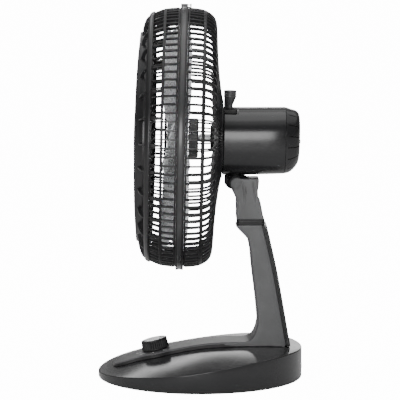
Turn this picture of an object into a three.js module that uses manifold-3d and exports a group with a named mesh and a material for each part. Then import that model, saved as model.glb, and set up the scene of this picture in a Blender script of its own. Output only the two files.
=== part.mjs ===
// Air circulator table fan. Millimetres, +Z up, the fan blows towards -Y.
// Origin: centre of the round base, on the surface that it stands on.
import * as THREE from "three";
import { mergeVertices } from "three/addons/utils/BufferGeometryUtils.js";
import Module from "manifold-3d";

const wasm = await Module();
wasm.setup();

// ---------------------------------------------------------------- driving dimensions
const DEG = Math.PI / 180;

const BASE_R = 168.2; // round base
const BASE_WALL = 2.6;
const BASE_FLOOR = 1.2; // lower edge of the base wall above the table
// height of the outer rim, and of the crown of the base along its centre line, against Y
const RIM_Z = [[-168.2, 11.4], [-146, 15.5], [-96, 22], [-21, 31.4], [0, 34.7], [41, 40.9], [87, 47.3], [116, 49.9], [139, 51.3], [168.2, 50]];
const CROWN_Z = [[-168.2, 11.4], [-156, 13.6], [-144, 16.1], [-139, 18.0], [-116, 25.6], [-93, 32.2], [-46, 41.5], [-21, 46.5], [4, 50.4], [29, 52.5], [54, 53.5], [79, 53.9], [116, 54], [145, 53], [168.2, 50]];
// top of the control strip along its centre line
const STRIP_Z = [[-144, 20.4], [-139, 23.7], [-116, 32.6], [-93, 39.7], [-70, 44.6], [-46, 49], [-21, 54], [4, 57.9], [29, 60], [54, 61], [72, 61.2]];
const STRIP_HALF = 34; // half width of strip and column foot
const COLUMN_TOP_HALF = 30; // half width of the column at the neck
const COLUMN_TOP_Z = 253.6;
// front edge and rear edge of the column against Z
const COLUMN_FRONT = [[61.8, 79.6], [67.5, 86.4], [77.5, 91.4], [90, 93.6], [98.1, 93.9], [138, 89.6], [171.3, 85.4], [211.1, 81.4], [231, 77.4], [250.8, 58.9]];
const COLUMN_REAR = [[253.6, 109.2], [239, 112.8], [225.8, 115.8], [205.9, 120.4], [186, 125], [159.3, 130], [126, 136], [92.5, 141.8], [54.6, 148.4]];
const REAR_COVER = 4.0; // thickness of the rear cover's outer strip
const REAR_REVEAL = 4.0; // dark reveal between column and rear cover

const KNOB_Y = -73; // speed knob on the strip
const KNOB_TILT = 12; // the strip slopes forward here
const KNOB_R_TOP = 21.4;
const KNOB_R_FOOT = 22.6;
const KNOB_H = 17.2;

const NECK_HALF = 29;
const NECK_INNER = 19.6; // inside faces of the fork
const PIVOT_Y = 58; // tilt bolt
const PIVOT_Z = 321.3;
const REST_TILT = 1.3; // nose up, degrees
const TURRET_R = 18.3;
const AXIS_UP = 71.7; // motor axis above the tilt bolt
const BAND_FWD = 89; // guard ring band in front of the swivel axis

const BAND_R = 215;
const GUARD_RIBS = 24;
const RIB_W = 3;
const RIB_D = 5;
// outline of the guards: distance from the band plane, radius
const FRONT_OUT = [[7.2, 212.4], [34, 209.2], [54.3, 202.0], [62.6, 194.5], [67.6, 176], [73.4, 150.4], [77.2, 58.9]];
const REAR_OUT = [[7.2, 212.4], [30.7, 210.3], [50, 198.2], [54.4, 168.4], [58.9, 107.9], [66.0, 61.5]];
const REAR_HUB_R = 63;
const BADGE_R = 40;

const BLADES = 6;
const BLADE_R = 195;
const HUB_R = 32;

// motor housing sections: distance behind the band plane, top, bottom, half width
const HOUSING = [[68.3, 51.8, -59.0, 55], [100, 52.3, -58.4, 56], [140, 53.3, -56.6, 56], [160, 53.8, -55.6, 55], [168, 53.9, -55.0, 54]];
const REAR_CAP = [[168.4, 53.8, -54.9, 53.8], [175, 51.6, -52.9, 51.5], [183, 49.0, -46.9, 47], [188, 44.6, -40, 41.6], [191.2, 38.1, -32.4, 34.4], [192.3, 27, -24, 25]];
const HOUSING_WALL = 2.5;
const HOUSING_POWER = 2.6; // squareness of the housing's section
const SPINDLE_X = 11; // clutch spindle and oscillation knob
const SPINDLE_Y = 76.8;
const OSC_KNOB_R = 10.3;
const CRANK_X = 23.4; // crank gear
const CRANK_Y = 87.1;
const CRANK_THROW = 8.4; // crank pin off the crank axis
const LINK_LENGTH = 20.3;
const LINK_DIR = -168.5; // the link at rest, from the crank pin, seen from above
const ANCHOR_THROW = 13.2; // anchor stub off the swivel axis
const WHEEL_TEETH = 24; // worm wheel
const WHEEL_R = 6.65;
const WORM_PITCH = (2 * Math.PI * WHEEL_R) / WHEEL_TEETH;
const WORM_TURNS = 6;
const NOSE_R = 22;

// ---------------------------------------------------------------- helpers
function solid(geometry) {
  const g0 = geometry.index ? geometry.toNonIndexed() : geometry.clone();
  const bare = new THREE.BufferGeometry().setAttribute("position", g0.getAttribute("position"));
  const g = mergeVertices(bare, 1e-4);
  const idx = g.index.array;
  const p = g.attributes.position.array;
  const keep = [];
  for (let i = 0; i < idx.length; i += 3) {
    const [a, b, c] = [idx[i], idx[i + 1], idx[i + 2]];
    if (a !== b && b !== c && a !== c) keep.push(a, b, c);
  }
  let volume = 0;
  for (let i = 0; i < keep.length; i += 3) {
    const [a, b, c] = [keep[i] * 3, keep[i + 1] * 3, keep[i + 2] * 3];
    volume += p[a] * (p[b + 1] * p[c + 2] - p[b + 2] * p[c + 1]) + p[a + 1] * (p[b + 2] * p[c] - p[b] * p[c + 2]) + p[a + 2] * (p[b] * p[c + 1] - p[b + 1] * p[c]);
  }
  if (volume < 0) for (let i = 0; i < keep.length; i += 3) [keep[i + 1], keep[i + 2]] = [keep[i + 2], keep[i + 1]];
  return new wasm.Manifold(new wasm.Mesh({ numProp: 3, vertProperties: new Float32Array(p), triVerts: new Uint32Array(keep) }));
}
function back(made) {
  const m = made.getMesh();
  const v = new Float32Array((m.vertProperties.length / m.numProp) * 3);
  for (let i = 0; i < v.length / 3; i++) v.set(m.vertProperties.subarray(i * m.numProp, i * m.numProp + 3), i * 3);
  const g = new THREE.BufferGeometry();
  g.setAttribute("position", new THREE.BufferAttribute(v, 3));
  g.setIndex(new THREE.BufferAttribute(new Uint32Array(m.triVerts), 1));
  g.computeVertexNormals();
  return g;
}
const join = (...all) => all.flat().reduce((a, b) => a.add(b));
const cut = (a, ...all) => all.flat().reduce((s, b) => s.subtract(b), a);
const at = (table, x) => {
  if (x <= table[0][0]) return table[0][1];
  for (let i = 1; i < table.length; i++)
    if (x <= table[i][0]) {
      const [x0, y0] = table[i - 1], [x1, y1] = table[i];
      return y0 + ((y1 - y0) * (x - x0)) / (x1 - x0);
    }
  return table[table.length - 1][1];
};
const shapeOf = (pts) => new THREE.Shape(pts.map(([x, y]) => new THREE.Vector2(x, y)));
const flat = { steps: 1, bevelEnabled: false, curveSegments: 12 };
const AXES = {
  // a profile in (Y, Z), drawn out along X
  x: new THREE.Matrix4().makeBasis(new THREE.Vector3(0, 1, 0), new THREE.Vector3(0, 0, 1), new THREE.Vector3(1, 0, 0)),
  // a profile in (Z, X), drawn out along Y
  y: new THREE.Matrix4().makeBasis(new THREE.Vector3(0, 0, 1), new THREE.Vector3(1, 0, 0), new THREE.Vector3(0, 1, 0)),
  z: new THREE.Matrix4(),
};
// prism of a profile between two stations of an axis
function prism(axis, pts, from, to) {
  const shape = pts.isShape ? pts : shapeOf(pts);
  return solid(new THREE.ExtrudeGeometry(shape, { ...flat, depth: to - from }).translate(0, 0, from).applyMatrix4(AXES[axis]));
}
function box(x0, x1, y0, y1, z0, z1) {
  return solid(new THREE.BoxGeometry(x1 - x0, y1 - y0, z1 - z0).translate((x0 + x1) / 2, (y0 + y1) / 2, (z0 + z1) / 2));
}
// round bar between two stations of an axis; r1 at the first, r2 at the second; c is the place of its axis in the other two coordinates
function bar(axis, from, to, r1, r2 = r1, c = [0, 0], seg = 16) {
  const g = new THREE.CylinderGeometry(r2, r1, to - from, seg).translate(0, (from + to) / 2, 0);
  if (axis === "y") g.translate(c[0], 0, c[1]);
  if (axis === "z") g.rotateX(Math.PI / 2).translate(c[0], c[1], 0);
  if (axis === "x") g.rotateZ(-Math.PI / 2).translate(0, c[0], c[1]);
  return solid(g);
}
// turned piece: profile of [radius, station] about Y, or about Z
function turned(axis, pts, seg = 20) {
  const closed = pts[0][0] > 0 || pts[pts.length - 1][0] > 0 ? [...pts, pts[0]] : pts;
  const g = new THREE.LatheGeometry(closed.map(([r, h]) => new THREE.Vector2(r, h)), seg);
  if (axis === "z") g.rotateX(Math.PI / 2);
  return solid(g);
}
// lofted body along Y through superellipse sections [y, top, bottom, half width]
function loft(sections, inset, seg = 28, yShift = 0) {
  const n = sections.length - 1;
  const g = new THREE.CylinderGeometry(1, 1, 1, seg, n);
  const p = g.attributes.position;
  for (let i = 0; i < p.count; i++) {
    const k = Math.round((p.getY(i) + 0.5) * n);
    const [y, top, bottom, half] = sections[k];
    const x = p.getX(i), z = p.getZ(i), r = Math.hypot(x, z);
    const a = Math.atan2(z, x), c = Math.cos(a), s = Math.sin(a);
    const e = 2 / HOUSING_POWER;
    const hw = half - inset, hh = (top - bottom) / 2 - inset, zc = (top + bottom) / 2;
    p.setXYZ(i, r * hw * Math.sign(c) * Math.abs(c) ** e, y + yShift, zc + r * hh * Math.sign(s) * Math.abs(s) ** e);
  }
  return solid(g);
}
const gearShape = (teeth, root, tip, rootShare, tipShare) => {
  const pts = [];
  for (let i = 0; i < teeth; i++)
    for (const [share, r] of [[-rootShare, root], [-tipShare, tip], [tipShare, tip], [rootShare, root]]) {
      const a = ((i + share / 2) / teeth) * 2 * Math.PI;
      pts.push([r * Math.cos(a), r * Math.sin(a)]);
    }
  return pts;
};
const moved = (pts, x, y) => pts.map(([a, b]) => [a + x, b + y]);
const arc = (cx, cy, r, a0, a1, n) => Array.from({ length: n + 1 }, (_, i) => {
  const a = (a0 + ((a1 - a0) * i) / n) * DEG;
  return [cx + r * Math.cos(a), cy + r * Math.sin(a)];
});

const material = (color, roughness, metalness) => new THREE.MeshStandardMaterial({ color, roughness, metalness });
const MAT = {
  shell: material(0x1d1d1f, 0.38, 0),
  satin: material(0x3c3d3f, 0.45, 0),
  guard: material(0x1a1a1b, 0.42, 0),
  band: material(0x2b2c2d, 0.36, 0),
  blade: material(0x8e9092, 0.32, 0),
  dark: material(0x0e0e0f, 0.5, 0),
  cap: material(0xe2e3e4, 0.22, 1),
  rubber: material(0x101010, 0.85, 0),
  steel: material(0xb4b6b8, 0.3, 1),
  zinc: material(0xc3c5c4, 0.35, 1),
  iron: material(0x55575a, 0.55, 1),
  cast: material(0x9a9c9e, 0.5, 1),
  copper: material(0xb3622b, 0.4, 1),
  bronze: material(0xa9793d, 0.45, 1),
  gear: material(0xe7e3d6, 0.5, 0),
  cream: material(0xd8d8d2, 0.45, 0),
};
const fan = new THREE.Group();
const stand = new THREE.Group();
const tilting = new THREE.Group(); // origin on the tilt bolt, Z along the swivel shaft
const head = new THREE.Group(); // origin at the centre of the guard ring band, motor axis along Y
tilting.position.set(0, PIVOT_Y, PIVOT_Z);
tilting.rotation.x = -REST_TILT * DEG;
head.position.set(0, -BAND_FWD, AXIS_UP);
tilting.add(head);
fan.add(stand, tilting);
function piece(group, name, made, look) {
  const mesh = new THREE.Mesh(back(made), look);
  mesh.name = name;
  group.add(mesh);
}

// ---------------------------------------------------------------- base
function crownZ(x, y) {
  const half = Math.sqrt(Math.max(BASE_R * BASE_R - y * y, 1));
  const u = Math.min(Math.abs(x) / half, 1);
  const rim = at(RIM_Z, y), mid = at(CROWN_Z, y);
  return rim + (mid - rim) * (1 - u ** 2.2);
}
// closed body under the base's crown: wall radius, underside, and how far below the crown its top lies
function crownBody(radius, floor, drop, edge, rings = [1, 0.985, 0.9, 0.72, 0.5, 0.25]) {
  const pts = [[0, floor], [radius - edge, floor], [radius, floor + edge]];
  rings.forEach((k, i) => pts.push([radius * k, 1000 + i]));
  pts.push([0, 1000 + rings.length]);
  const g = new THREE.LatheGeometry(pts.map(([r, h]) => new THREE.Vector2(r, h)), 36).rotateX(Math.PI / 2);
  const p = g.attributes.position;
  for (let i = 0; i < p.count; i++) {
    if (p.getZ(i) < 900) continue;
    const x = p.getX(i), y = p.getY(i);
    const rim = Math.round(p.getZ(i)) === 1000 ? 1.4 : 0;
    p.setZ(i, crownZ(x, y) - drop - rim);
  }
  return solid(g);
}
const knobAxis = new THREE.Matrix4().makeRotationX(KNOB_TILT * DEG).setPosition(0, KNOB_Y, at(STRIP_Z, KNOB_Y) + 0.5);
const onKnob = (geometry) => solid(geometry.applyMatrix4(knobAxis));
const knobBar = (z0, z1, r1, r2 = r1, seg = 24) => onKnob(new THREE.CylinderGeometry(r2, r1, z1 - z0, seg).rotateX(Math.PI / 2).translate(0, 0, (z0 + z1) / 2));

const SCREWS = [[-118, -52], [118, -52], [-86, 112], [86, 112]];
let base = cut(crownBody(BASE_R, BASE_FLOOR, 0, 1.6), crownBody(BASE_R - BASE_WALL, -5, BASE_WALL, 0, [1, 0.9, 0.62, 0.3]));
// bosses that take the screws of the bottom plate
for (const [x, y] of SCREWS) base = base.add(cut(bar("z", 5.7, crownZ(x, y) - 1.2, 5.5, 5.5, [x, y], 12), bar("z", 5, 22, 1.9, 1.9, [x, y], 8)));
base = cut(base,
  knobBar(-30, 6, 9), // switch neck
  box(-20, 20, 104, 132, 40, 70), // cable way into the column
  bar("y", 150, 180, 5.2, 5.2, [0, 17], 16)); // cord gland
piece(stand, "base_shell", base, MAT.shell);
piece(stand, "base_bottom_plate", cut(bar("z", 2.9, 5.4, BASE_R - BASE_WALL - 0.6, undefined, [0, 0], 36), SCREWS.map(([x, y]) => bar("z", 0, 8, 2.3, 2.3, [x, y], 12))), MAT.shell);
SCREWS.forEach(([x, y], i) => piece(stand, "base_screw_" + (i + 1), join(bar("z", 1.0, 2.6, 4.2, 4.2, [x, y], 12), bar("z", 2.5, 16, 1.6, 1.6, [x, y], 8)), MAT.zinc));
for (const [name, x, y] of [["foot_front_left", -96, -96], ["foot_front_right", 96, -96], ["foot_rear_left", -100, 92], ["foot_rear_right", 100, 92]])
  piece(stand, name, bar("z", 0, 2.6, 9.5, 10, [x, y], 20), MAT.rubber);
piece(stand, "ballast_plate", prism("z", [...arc(0, 30, 84, 0, 360, 32)].slice(0, 32), 5.8, 12.3), MAT.iron);
piece(stand, "cord_gland", cut(join(bar("y", 162.0, 164.4, 7.4, 7.4, [0, 17], 16), bar("y", 164.3, 168.0, 4.9, 4.9, [0, 17], 16)), bar("y", 150, 180, 3.3, 3.3, [0, 17], 12)), MAT.rubber);

// speed switch under the strip, its shaft and the knob
piece(stand, "speed_switch", join(onKnob(new THREE.BoxGeometry(34, 34, 13).translate(0, 0, -20.2)), cut(knobBar(-14, -4, 5.2), knobBar(-13.4, 0, 3.4))), MAT.cream);
const knobShaft = cut(knobBar(-13.2, 13, 3.0), onKnob(new THREE.BoxGeometry(4, 8, 10).translate(3.7, 0, 10)));
piece(stand, "switch_shaft", knobShaft, MAT.cream);
{
  const pts = [];
  for (let i = 0; i < 20; i++) for (const k of [0, 0.5]) {
    const a = ((i + k) / 20) * 2 * Math.PI, r = k ? KNOB_R_FOOT - 0.9 : KNOB_R_FOOT;
    pts.push([r * Math.cos(a), r * Math.sin(a)]);
  }
  const g = new THREE.ExtrudeGeometry(shapeOf(pts), { ...flat, depth: KNOB_H }).translate(0, 0, 0.4);
  const p = g.attributes.position;
  const k = KNOB_R_TOP / KNOB_R_FOOT;
  for (let i = 0; i < p.count; i++) if (p.getZ(i) > KNOB_H / 2) p.setXY(i, p.getX(i) * k, p.getY(i) * k);
  const knob = cut(onKnob(g), knobBar(KNOB_H - 1.0, KNOB_H + 2, 19.2, 19.2, 24), knobBar(-1, 3.2, 19, 18, 16), knobBar(2, 13.6, 3.35));
  piece(stand, "speed_knob", knob, MAT.dark);
  piece(stand, "speed_knob_cap", knobBar(KNOB_H - 0.7, KNOB_H + 0.7, 18.8, 18.4, 24), MAT.cap);
}

// ---------------------------------------------------------------- stand arm: control strip and column
const stripTop = STRIP_Z.map(([y, z]) => [y, z]);
const stripUnder = CROWN_Z.filter(([y]) => y > -140 && y < 141).map(([y, z]) => [y, z + 0.6]);
const innerRear = COLUMN_REAR.map(([z, y]) => [y - REAR_COVER - REAR_REVEAL, z]);
const armProfile = [
  ...stripTop,
  ...COLUMN_FRONT.map(([z, y]) => [y, z]),
  [58.9, COLUMN_TOP_Z],
  ...innerRear.map(([y, z]) => [y, Math.min(z, COLUMN_TOP_Z)]),
  ...stripUnder.reverse(),
  [-144, at(CROWN_Z, -144) + 1.2],
];
// the width, seen from above: rounded tip, pad round the knob, column foot
function plan(half, tip, pad) {
  const out = [];
  const side = [[150, half], [KNOB_Y + 34, half]];
  for (let a = 60; a <= 120; a += 12) side.push([KNOB_Y + pad * Math.cos(a * DEG), Math.max(half, pad * Math.sin(a * DEG))]);
  side.push([KNOB_Y - 34, half * 0.985]);
  for (let a = 0; a <= 90; a += 15) side.push([tip + 26 - 26 * Math.sin(a * DEG), half * 0.94 * Math.cos(a * DEG)]);
  side.forEach(([y, x]) => out.push([x, y]));
  side.slice(0, -1).reverse().forEach(([y, x]) => out.push([-x, y]));
  return out;
}
const armPlan = prism("z", plan(STRIP_HALF, -144, 39.5), 0, 400);
// the column narrows from its foot to the neck
const taper = prism("y", [[40, STRIP_HALF + 8], [66, STRIP_HALF + 8], [66, STRIP_HALF], [COLUMN_TOP_Z + 1, COLUMN_TOP_HALF], [COLUMN_TOP_Z + 1, -COLUMN_TOP_HALF], [66, -STRIP_HALF], [66, -STRIP_HALF - 8], [40, -STRIP_HALF - 8], [0, -STRIP_HALF - 8], [0, STRIP_HALF + 8]], -200, 200);
const arm = prism("x", armProfile, -60, 60).intersect(armPlan).intersect(taper);
const columnHollow = prism("x", [
  ...COLUMN_FRONT.filter(([z]) => z > 70).map(([z, y]) => [y + 3.2, z - 1]),
  [62.4, 250], [62.4, 262], [160, 262], [160, 40], [97, 40],
], -26.4, 26.4);
const stripHollow = prism("x", [
  ...STRIP_Z.filter(([y]) => y > -125).map(([y, z]) => [y, z - 2.6]),
  [90, 58.6], [90, 40],
  ...CROWN_Z.filter(([y]) => y > -125 && y < 80).map(([y, z]) => [y, z - 1.6]).reverse(),
], -30, 30);
const armShell = cut(arm, columnHollow, stripHollow, knobBar(-30, 6, 6.2));
piece(stand, "stand_arm", armShell, MAT.satin);

const outerRear = COLUMN_REAR.map(([z, y]) => [y, z]);
const coverProfile = [
  ...outerRear,
  [148.4 - 0.1, 54.4],
  [148.4 - REAR_COVER, 54.4],
  ...COLUMN_REAR.map(([z, y]) => [y - REAR_COVER, z]).reverse(),
];
const lipProfile = [
  ...COLUMN_REAR.map(([z, y]) => [y - REAR_COVER + 0.5, z]),
  ...COLUMN_REAR.map(([z, y]) => [y - REAR_COVER - REAR_REVEAL - 5, z]).reverse(),
];
const cover = join(
  prism("x", coverProfile, -60, 60).intersect(taper).intersect(armPlan),
  cut(prism("x", lipProfile, -25.8, 25.8), prism("x", lipProfile.map(([y, z]) => [y, z]), -22.8, 22.8)),
);
const COVER_SCREWS = [[228, 115.3], [84, 143.3]];
piece(stand, "stand_rear_cover", cut(cover, COVER_SCREWS.map(([z, y]) => bar("y", y - 20, y + 5, 2.4, 2.4, [0, z], 12)), COVER_SCREWS.map(([z, y]) => bar("y", y - 1.6, y + 5, 4.6, 4.6, [0, z], 12))), MAT.shell);
COVER_SCREWS.forEach(([z, y], i) => piece(stand, i ? "stand_screw_lower" : "stand_screw_upper", join(bar("y", y - 1.3, y + 0.1, 4.2, 4.2, [0, z], 12), bar("y", y - 18, y - 1.2, 2.0, 2.0, [0, z], 8)), MAT.zinc));

// ---------------------------------------------------------------- neck
piece(stand, "neck_collar", prism("z", [[-28.6, 60.2], [28.6, 60.2], [28.6, 105.8], [-28.6, 105.8]], COLUMN_TOP_Z + 0.3, 262.6), MAT.dark);
const neckProfile = [
  [58.6, 263], [58.6, 297.5], [55.6, 303.8], [51.6, 311.4], [51.6, 324],
  ...arc(PIVOT_Y, PIVOT_Z, 12.2, 150, 52, 6),
  [66.2, 329.7], [96.4, 329.7], [96.2, 323.4], [94.2, 308.6], [95.2, 296], [98.6, 292.1], [104.2, 263],
];
const neck = cut(
  prism("x", neckProfile, -NECK_HALF, NECK_HALF),
  prism("x", [[40, 305.5], [72, 305.5], [79.5, 312], [79.5, 340], [40, 340]], -NECK_INNER, NECK_INNER), // fork
  prism("x", [[61.6, 258], [61.6, 302.5], [90, 302.5], [92, 296], [95.6, 290], [100, 258]], -26, 26), // hollow foot
  bar("x", -40, 40, 4.4, 4.4, [PIVOT_Y, PIVOT_Z], 20), // tilt bolt
  bar("x", 24.9, 40, 8.2, 8.2, [PIVOT_Y, PIVOT_Z], 20), bar("x", -40, -24.9, 8.2, 8.2, [PIVOT_Y, PIVOT_Z], 20), // seats of head and nut
);
piece(stand, "neck_fork", neck, MAT.satin);
piece(stand, "tilt_bolt", join(bar("x", 25.2, 28.6, 7.4, 7.0, [PIVOT_Y, PIVOT_Z], 20), bar("x", -28.4, 25.3, 4.0, 4.0, [PIVOT_Y, PIVOT_Z], 20)), MAT.zinc);
piece(stand, "tilt_nut", cut(prism("x", moved(arc(0, 0, 7.6, 0, 360, 6).slice(0, 6), PIVOT_Y, PIVOT_Z), -28.4, -25.2), bar("x", -40, 0, 4.3, 4.3, [PIVOT_Y, PIVOT_Z], 20)), MAT.zinc);

// ---------------------------------------------------------------- tilting knuckle (origin on the bolt)
const UNDER = AXIS_UP + HOUSING[0][2]; // underside of the housing above the bolt
{
  const ribs = [];
  for (let i = 0; i < 12; i++) for (const [k, r] of [[-0.28, TURRET_R], [0.28, TURRET_R], [0.34, TURRET_R - 0.9], [0.66, TURRET_R - 0.9]]) {
    const a = ((i + k) / 12) * 2 * Math.PI;
    ribs.push([r * Math.cos(a), r * Math.sin(a)]);
  }
  const turret = prism("z", ribs, -1.2, UNDER - 0.6);
  const skirt = bar("z", -10.5, -1.2, 8.5, TURRET_R - 0.9, [0, 0], 24);
  const eye = bar("x", -19.1, 19.1, 10.4, 10.4, [0, 0], 24);
  const spigot = bar("z", UNDER - 1, UNDER + 9.4, 12.2, 12.2, [0, 0], 24);
  piece(tilting, "tilt_knuckle", cut(join(turret, skirt, eye, spigot), bar("x", -40, 40, 4.3, 4.3, [0, 0], 20), bar("z", 5.6, 40, 6.3, 6.3, [0, 0], 20)), MAT.dark);
  piece(tilting, "swivel_shaft", join(bar("z", 5.9, AXIS_UP - 9.5, 6.0, 6.0, [0, 0], 24), bar("z", AXIS_UP - 9.6, AXIS_UP - 6.5, 5.0, 5.0, [0, 0], 20)), MAT.steel);
  piece(tilting, "swivel_ring", cut(bar("z", AXIS_UP - 9.1, AXIS_UP - 7.8, 8.6, 8.6, [0, 0], 20), bar("z", 40, 80, 5.3, 5.3, [0, 0], 20)), MAT.steel);
  // arm that anchors the crank link, fixed on the knuckle's spigot
  const z0 = AXIS_UP - 51.6;
  const anchor = cut(
    join(bar("z", z0, z0 + 2.4, 17, 17, [0, 0], 24), bar("z", z0, z0 + 3.3, 1.9, 1.9, [ANCHOR_THROW * Math.cos(-60 * DEG), ANCHOR_THROW * Math.sin(-60 * DEG)], 12)),
    bar("z", z0 - 5, z0 + 8, 12.5, 12.5, [0, 0], 24));
  piece(tilting, "link_anchor", anchor, MAT.zinc);
}

// ---------------------------------------------------------------- motor housing
{
  const outer = loft(HOUSING, 0);
  const inner = loft(HOUSING.map(([y, t, b, w], i) => [i === 0 ? 70.8 : i === HOUSING.length - 1 ? 180 : y, t, b, w]), HOUSING_WALL);
  const well = bar("z", 38.2, 60, 13.6, 13.6, [SPINDLE_X, SPINDLE_Y], 24).intersect(outer);
  const step = cut(box(-48, 48, 68.3, 91, 38.8, 60), box(-24.5, 24.5, 70.8, 88.5, 38, 51.3)).intersect(outer);
  const housing = cut(
    join(cut(outer, inner), step, well),
    box(27, 70, 60, 88.4, 41.6, 70), box(-70, -27, 60, 88.4, 41.6, 70),
    bar("z", 40.4, 70, 11.6, 11.6, [SPINDLE_X, SPINDLE_Y], 24),
    bar("z", 30, 50, 5.3, 5.3, [SPINDLE_X, SPINDLE_Y], 20),
    bar("y", 60, 72, NOSE_R + 0.5, NOSE_R + 0.5, [0, 0], 32),
    bar("z", -70, -50, 12.9, 12.9, [0, BAND_FWD], 24),
    box(-7, 7, 160.5, 170, 50.9, 60), // finger notch at the rear edge
  );
  piece(head, "motor_housing", housing, MAT.shell);
  const capOut = loft(REAR_CAP, 0);
  const capIn = loft(REAR_CAP.map(([y, t, b, w], i) => [i === 0 ? 160 : y - 2.6, t, b, w]), HOUSING_WALL);
  const slots = [];
  for (let i = 0; i < 6; i++) {
    const a = (i + 0.5) * 60 * DEG;
    slots.push(solid(new THREE.BoxGeometry(34, 40, 2.4).translate(34, 192, 0).rotateY(a)));
  }
  piece(head, "motor_rear_cover", cut(capOut, capIn, slots, [-30, 30].map((x) => bar("y", 170, 200, 2.2, 2.2, [x, 0], 12))), MAT.shell);
  [-30, 30].forEach((x, i) => piece(head, i ? "cover_screw_right" : "cover_screw_left", join(bar("y", 192.6, 193.8, 3.8, 3.2, [x, 0], 12), bar("y", 176, 192.7, 1.8, 1.8, [x, 0], 8)), MAT.zinc));
}

// ---------------------------------------------------------------- gearbox
{
  const x0 = -24, x1 = 39.5, z0 = -40, z1 = 30;
  const cover = cut(
    join(box(x0, x1, 71.1, 72.6, z0, z1), bar("y", 46, 71.4, NOSE_R, NOSE_R, [0, 0], 24), bar("y", 28.2, 46.5, 6.6, 6.6, [0, 0], 16)),
    bar("y", 67, 80, 20.2, 20.2, [0, 0], 24), // room for worm and wheel
    bar("y", 48, 61.3, 9.5, 9.5, [0, 0], 16), // seat of the front bush
    bar("y", 0, 80, 5.2, 5.2, [0, 0], 16),
  );
  piece(head, "gearbox_front_cover", cover, MAT.cast);
  const swivelBoss = bar("z", z0 - 5.2, -11.4, 8.5, 8.5, [0, BAND_FWD], 20);
  const bossWeb = box(-4, 4, BAND_FWD, 103, z0, -11.4);
  const gearCase = cut(
    join(cut(box(x0, x1, 72.9, 103.5, z0, z1), box(x0 + 2.5, x1 - 2.5, 70, 101, z0 + 2.5, z1 - 2.5)), swivelBoss, bossWeb),
    bar("z", -60, -5, 6.4, 6.4, [0, BAND_FWD], 24),
    bar("y", 90, 110, 5.2, 5.2, [0, 0], 20),
    bar("z", 20, 40, 3.2, 3.2, [SPINDLE_X, SPINDLE_Y], 16),
    bar("z", -50, -35, 2.9, 2.9, [CRANK_X, CRANK_Y], 16),
  );
  piece(head, "gearbox_case", gearCase, MAT.cast);
  // worm wheel, free on the clutch spindle
  piece(head, "worm_wheel", cut(prism("z", moved(gearShape(WHEEL_TEETH, WHEEL_R - 0.55, WHEEL_R + 0.55, 0.62, 0.3), SPINDLE_X, SPINDLE_Y), -3.4, 3.4), bar("z", -10, 10, 3.2, 3.2, [SPINDLE_X, SPINDLE_Y], 16)), MAT.bronze);
  const pinion = prism("z", moved(gearShape(8, 2.45, 3.75, 0.52, 0.2), SPINDLE_X, SPINDLE_Y), -37.1, -30.5);
  piece(head, "clutch_spindle", cut(join(bar("z", -30.6, 33.4, 2.9, 2.9, [SPINDLE_X, SPINDLE_Y], 16), pinion), bar("z", -24, 50, 1.75, 1.75, [SPINDLE_X, SPINDLE_Y], 12)), MAT.steel);
  // oscillation knob with its plunger
  {
    const g = new THREE.LatheGeometry([[0, -14], [1.4, -14], [1.4, 43.4], [4.6, 43.4], [4.6, 56], [OSC_KNOB_R - 0.7, 68], [OSC_KNOB_R, 68.4], [OSC_KNOB_R, 78.4], [OSC_KNOB_R - 1.1, 79.6], [0, 79.9]].map(([r, h]) => new THREE.Vector2(r, h)), 20).rotateX(Math.PI / 2).translate(SPINDLE_X, SPINDLE_Y, 0);
    piece(head, "oscillation_knob", solid(g), MAT.shell);
  }
  // crank gear with its pin, and the link
  const dx = CRANK_X - SPINDLE_X, dy = CRANK_Y - SPINDLE_Y;
  const mesh = Math.atan2(dy, dx);
  const gear = gearShape(32, 11.85, 13.15, 0.55, 0.2).map(([x, y]) => {
    const a = mesh + Math.PI / 32; // a gap of the gear faces the pinion's tooth
    return [CRANK_X + x * Math.cos(a) - y * Math.sin(a), CRANK_Y + x * Math.sin(a) + y * Math.cos(a)];
  });
  const PIN = [CRANK_X + CRANK_THROW * Math.cos(-60 * DEG), CRANK_Y + CRANK_THROW * Math.sin(-60 * DEG)];
  piece(head, "crank_gear", join(
    prism("z", gear, -36.8, -31.5),
    bar("z", -43.2, -28, 2.5, 2.5, [CRANK_X, CRANK_Y], 16),
    bar("z", -44.2, -42, 10.6, 10.6, [CRANK_X, CRANK_Y], 20),
    bar("z", -48.0, -44.1, 1.7, 1.7, PIN, 12),
  ), MAT.gear);
  const A = [PIN[0] + LINK_LENGTH * Math.cos(LINK_DIR * DEG), PIN[1] + LINK_LENGTH * Math.sin(LINK_DIR * DEG)];
  const bone = [...arc(0, 0, 3.5, 45, 315, 9), ...arc(LINK_LENGTH, 0, 3.3, -135, 135, 9)];
  const link = new THREE.ExtrudeGeometry(shapeOf(bone), { ...flat, depth: 2 }).rotateZ(LINK_DIR * DEG).translate(PIN[0], PIN[1], -47.6);
  piece(head, "crank_link", cut(solid(link), bar("z", -60, -40, 2.05, 2.05, PIN, 12), bar("z", -60, -40, 2.1, 2.1, A, 12)), MAT.zinc);
}

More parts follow.
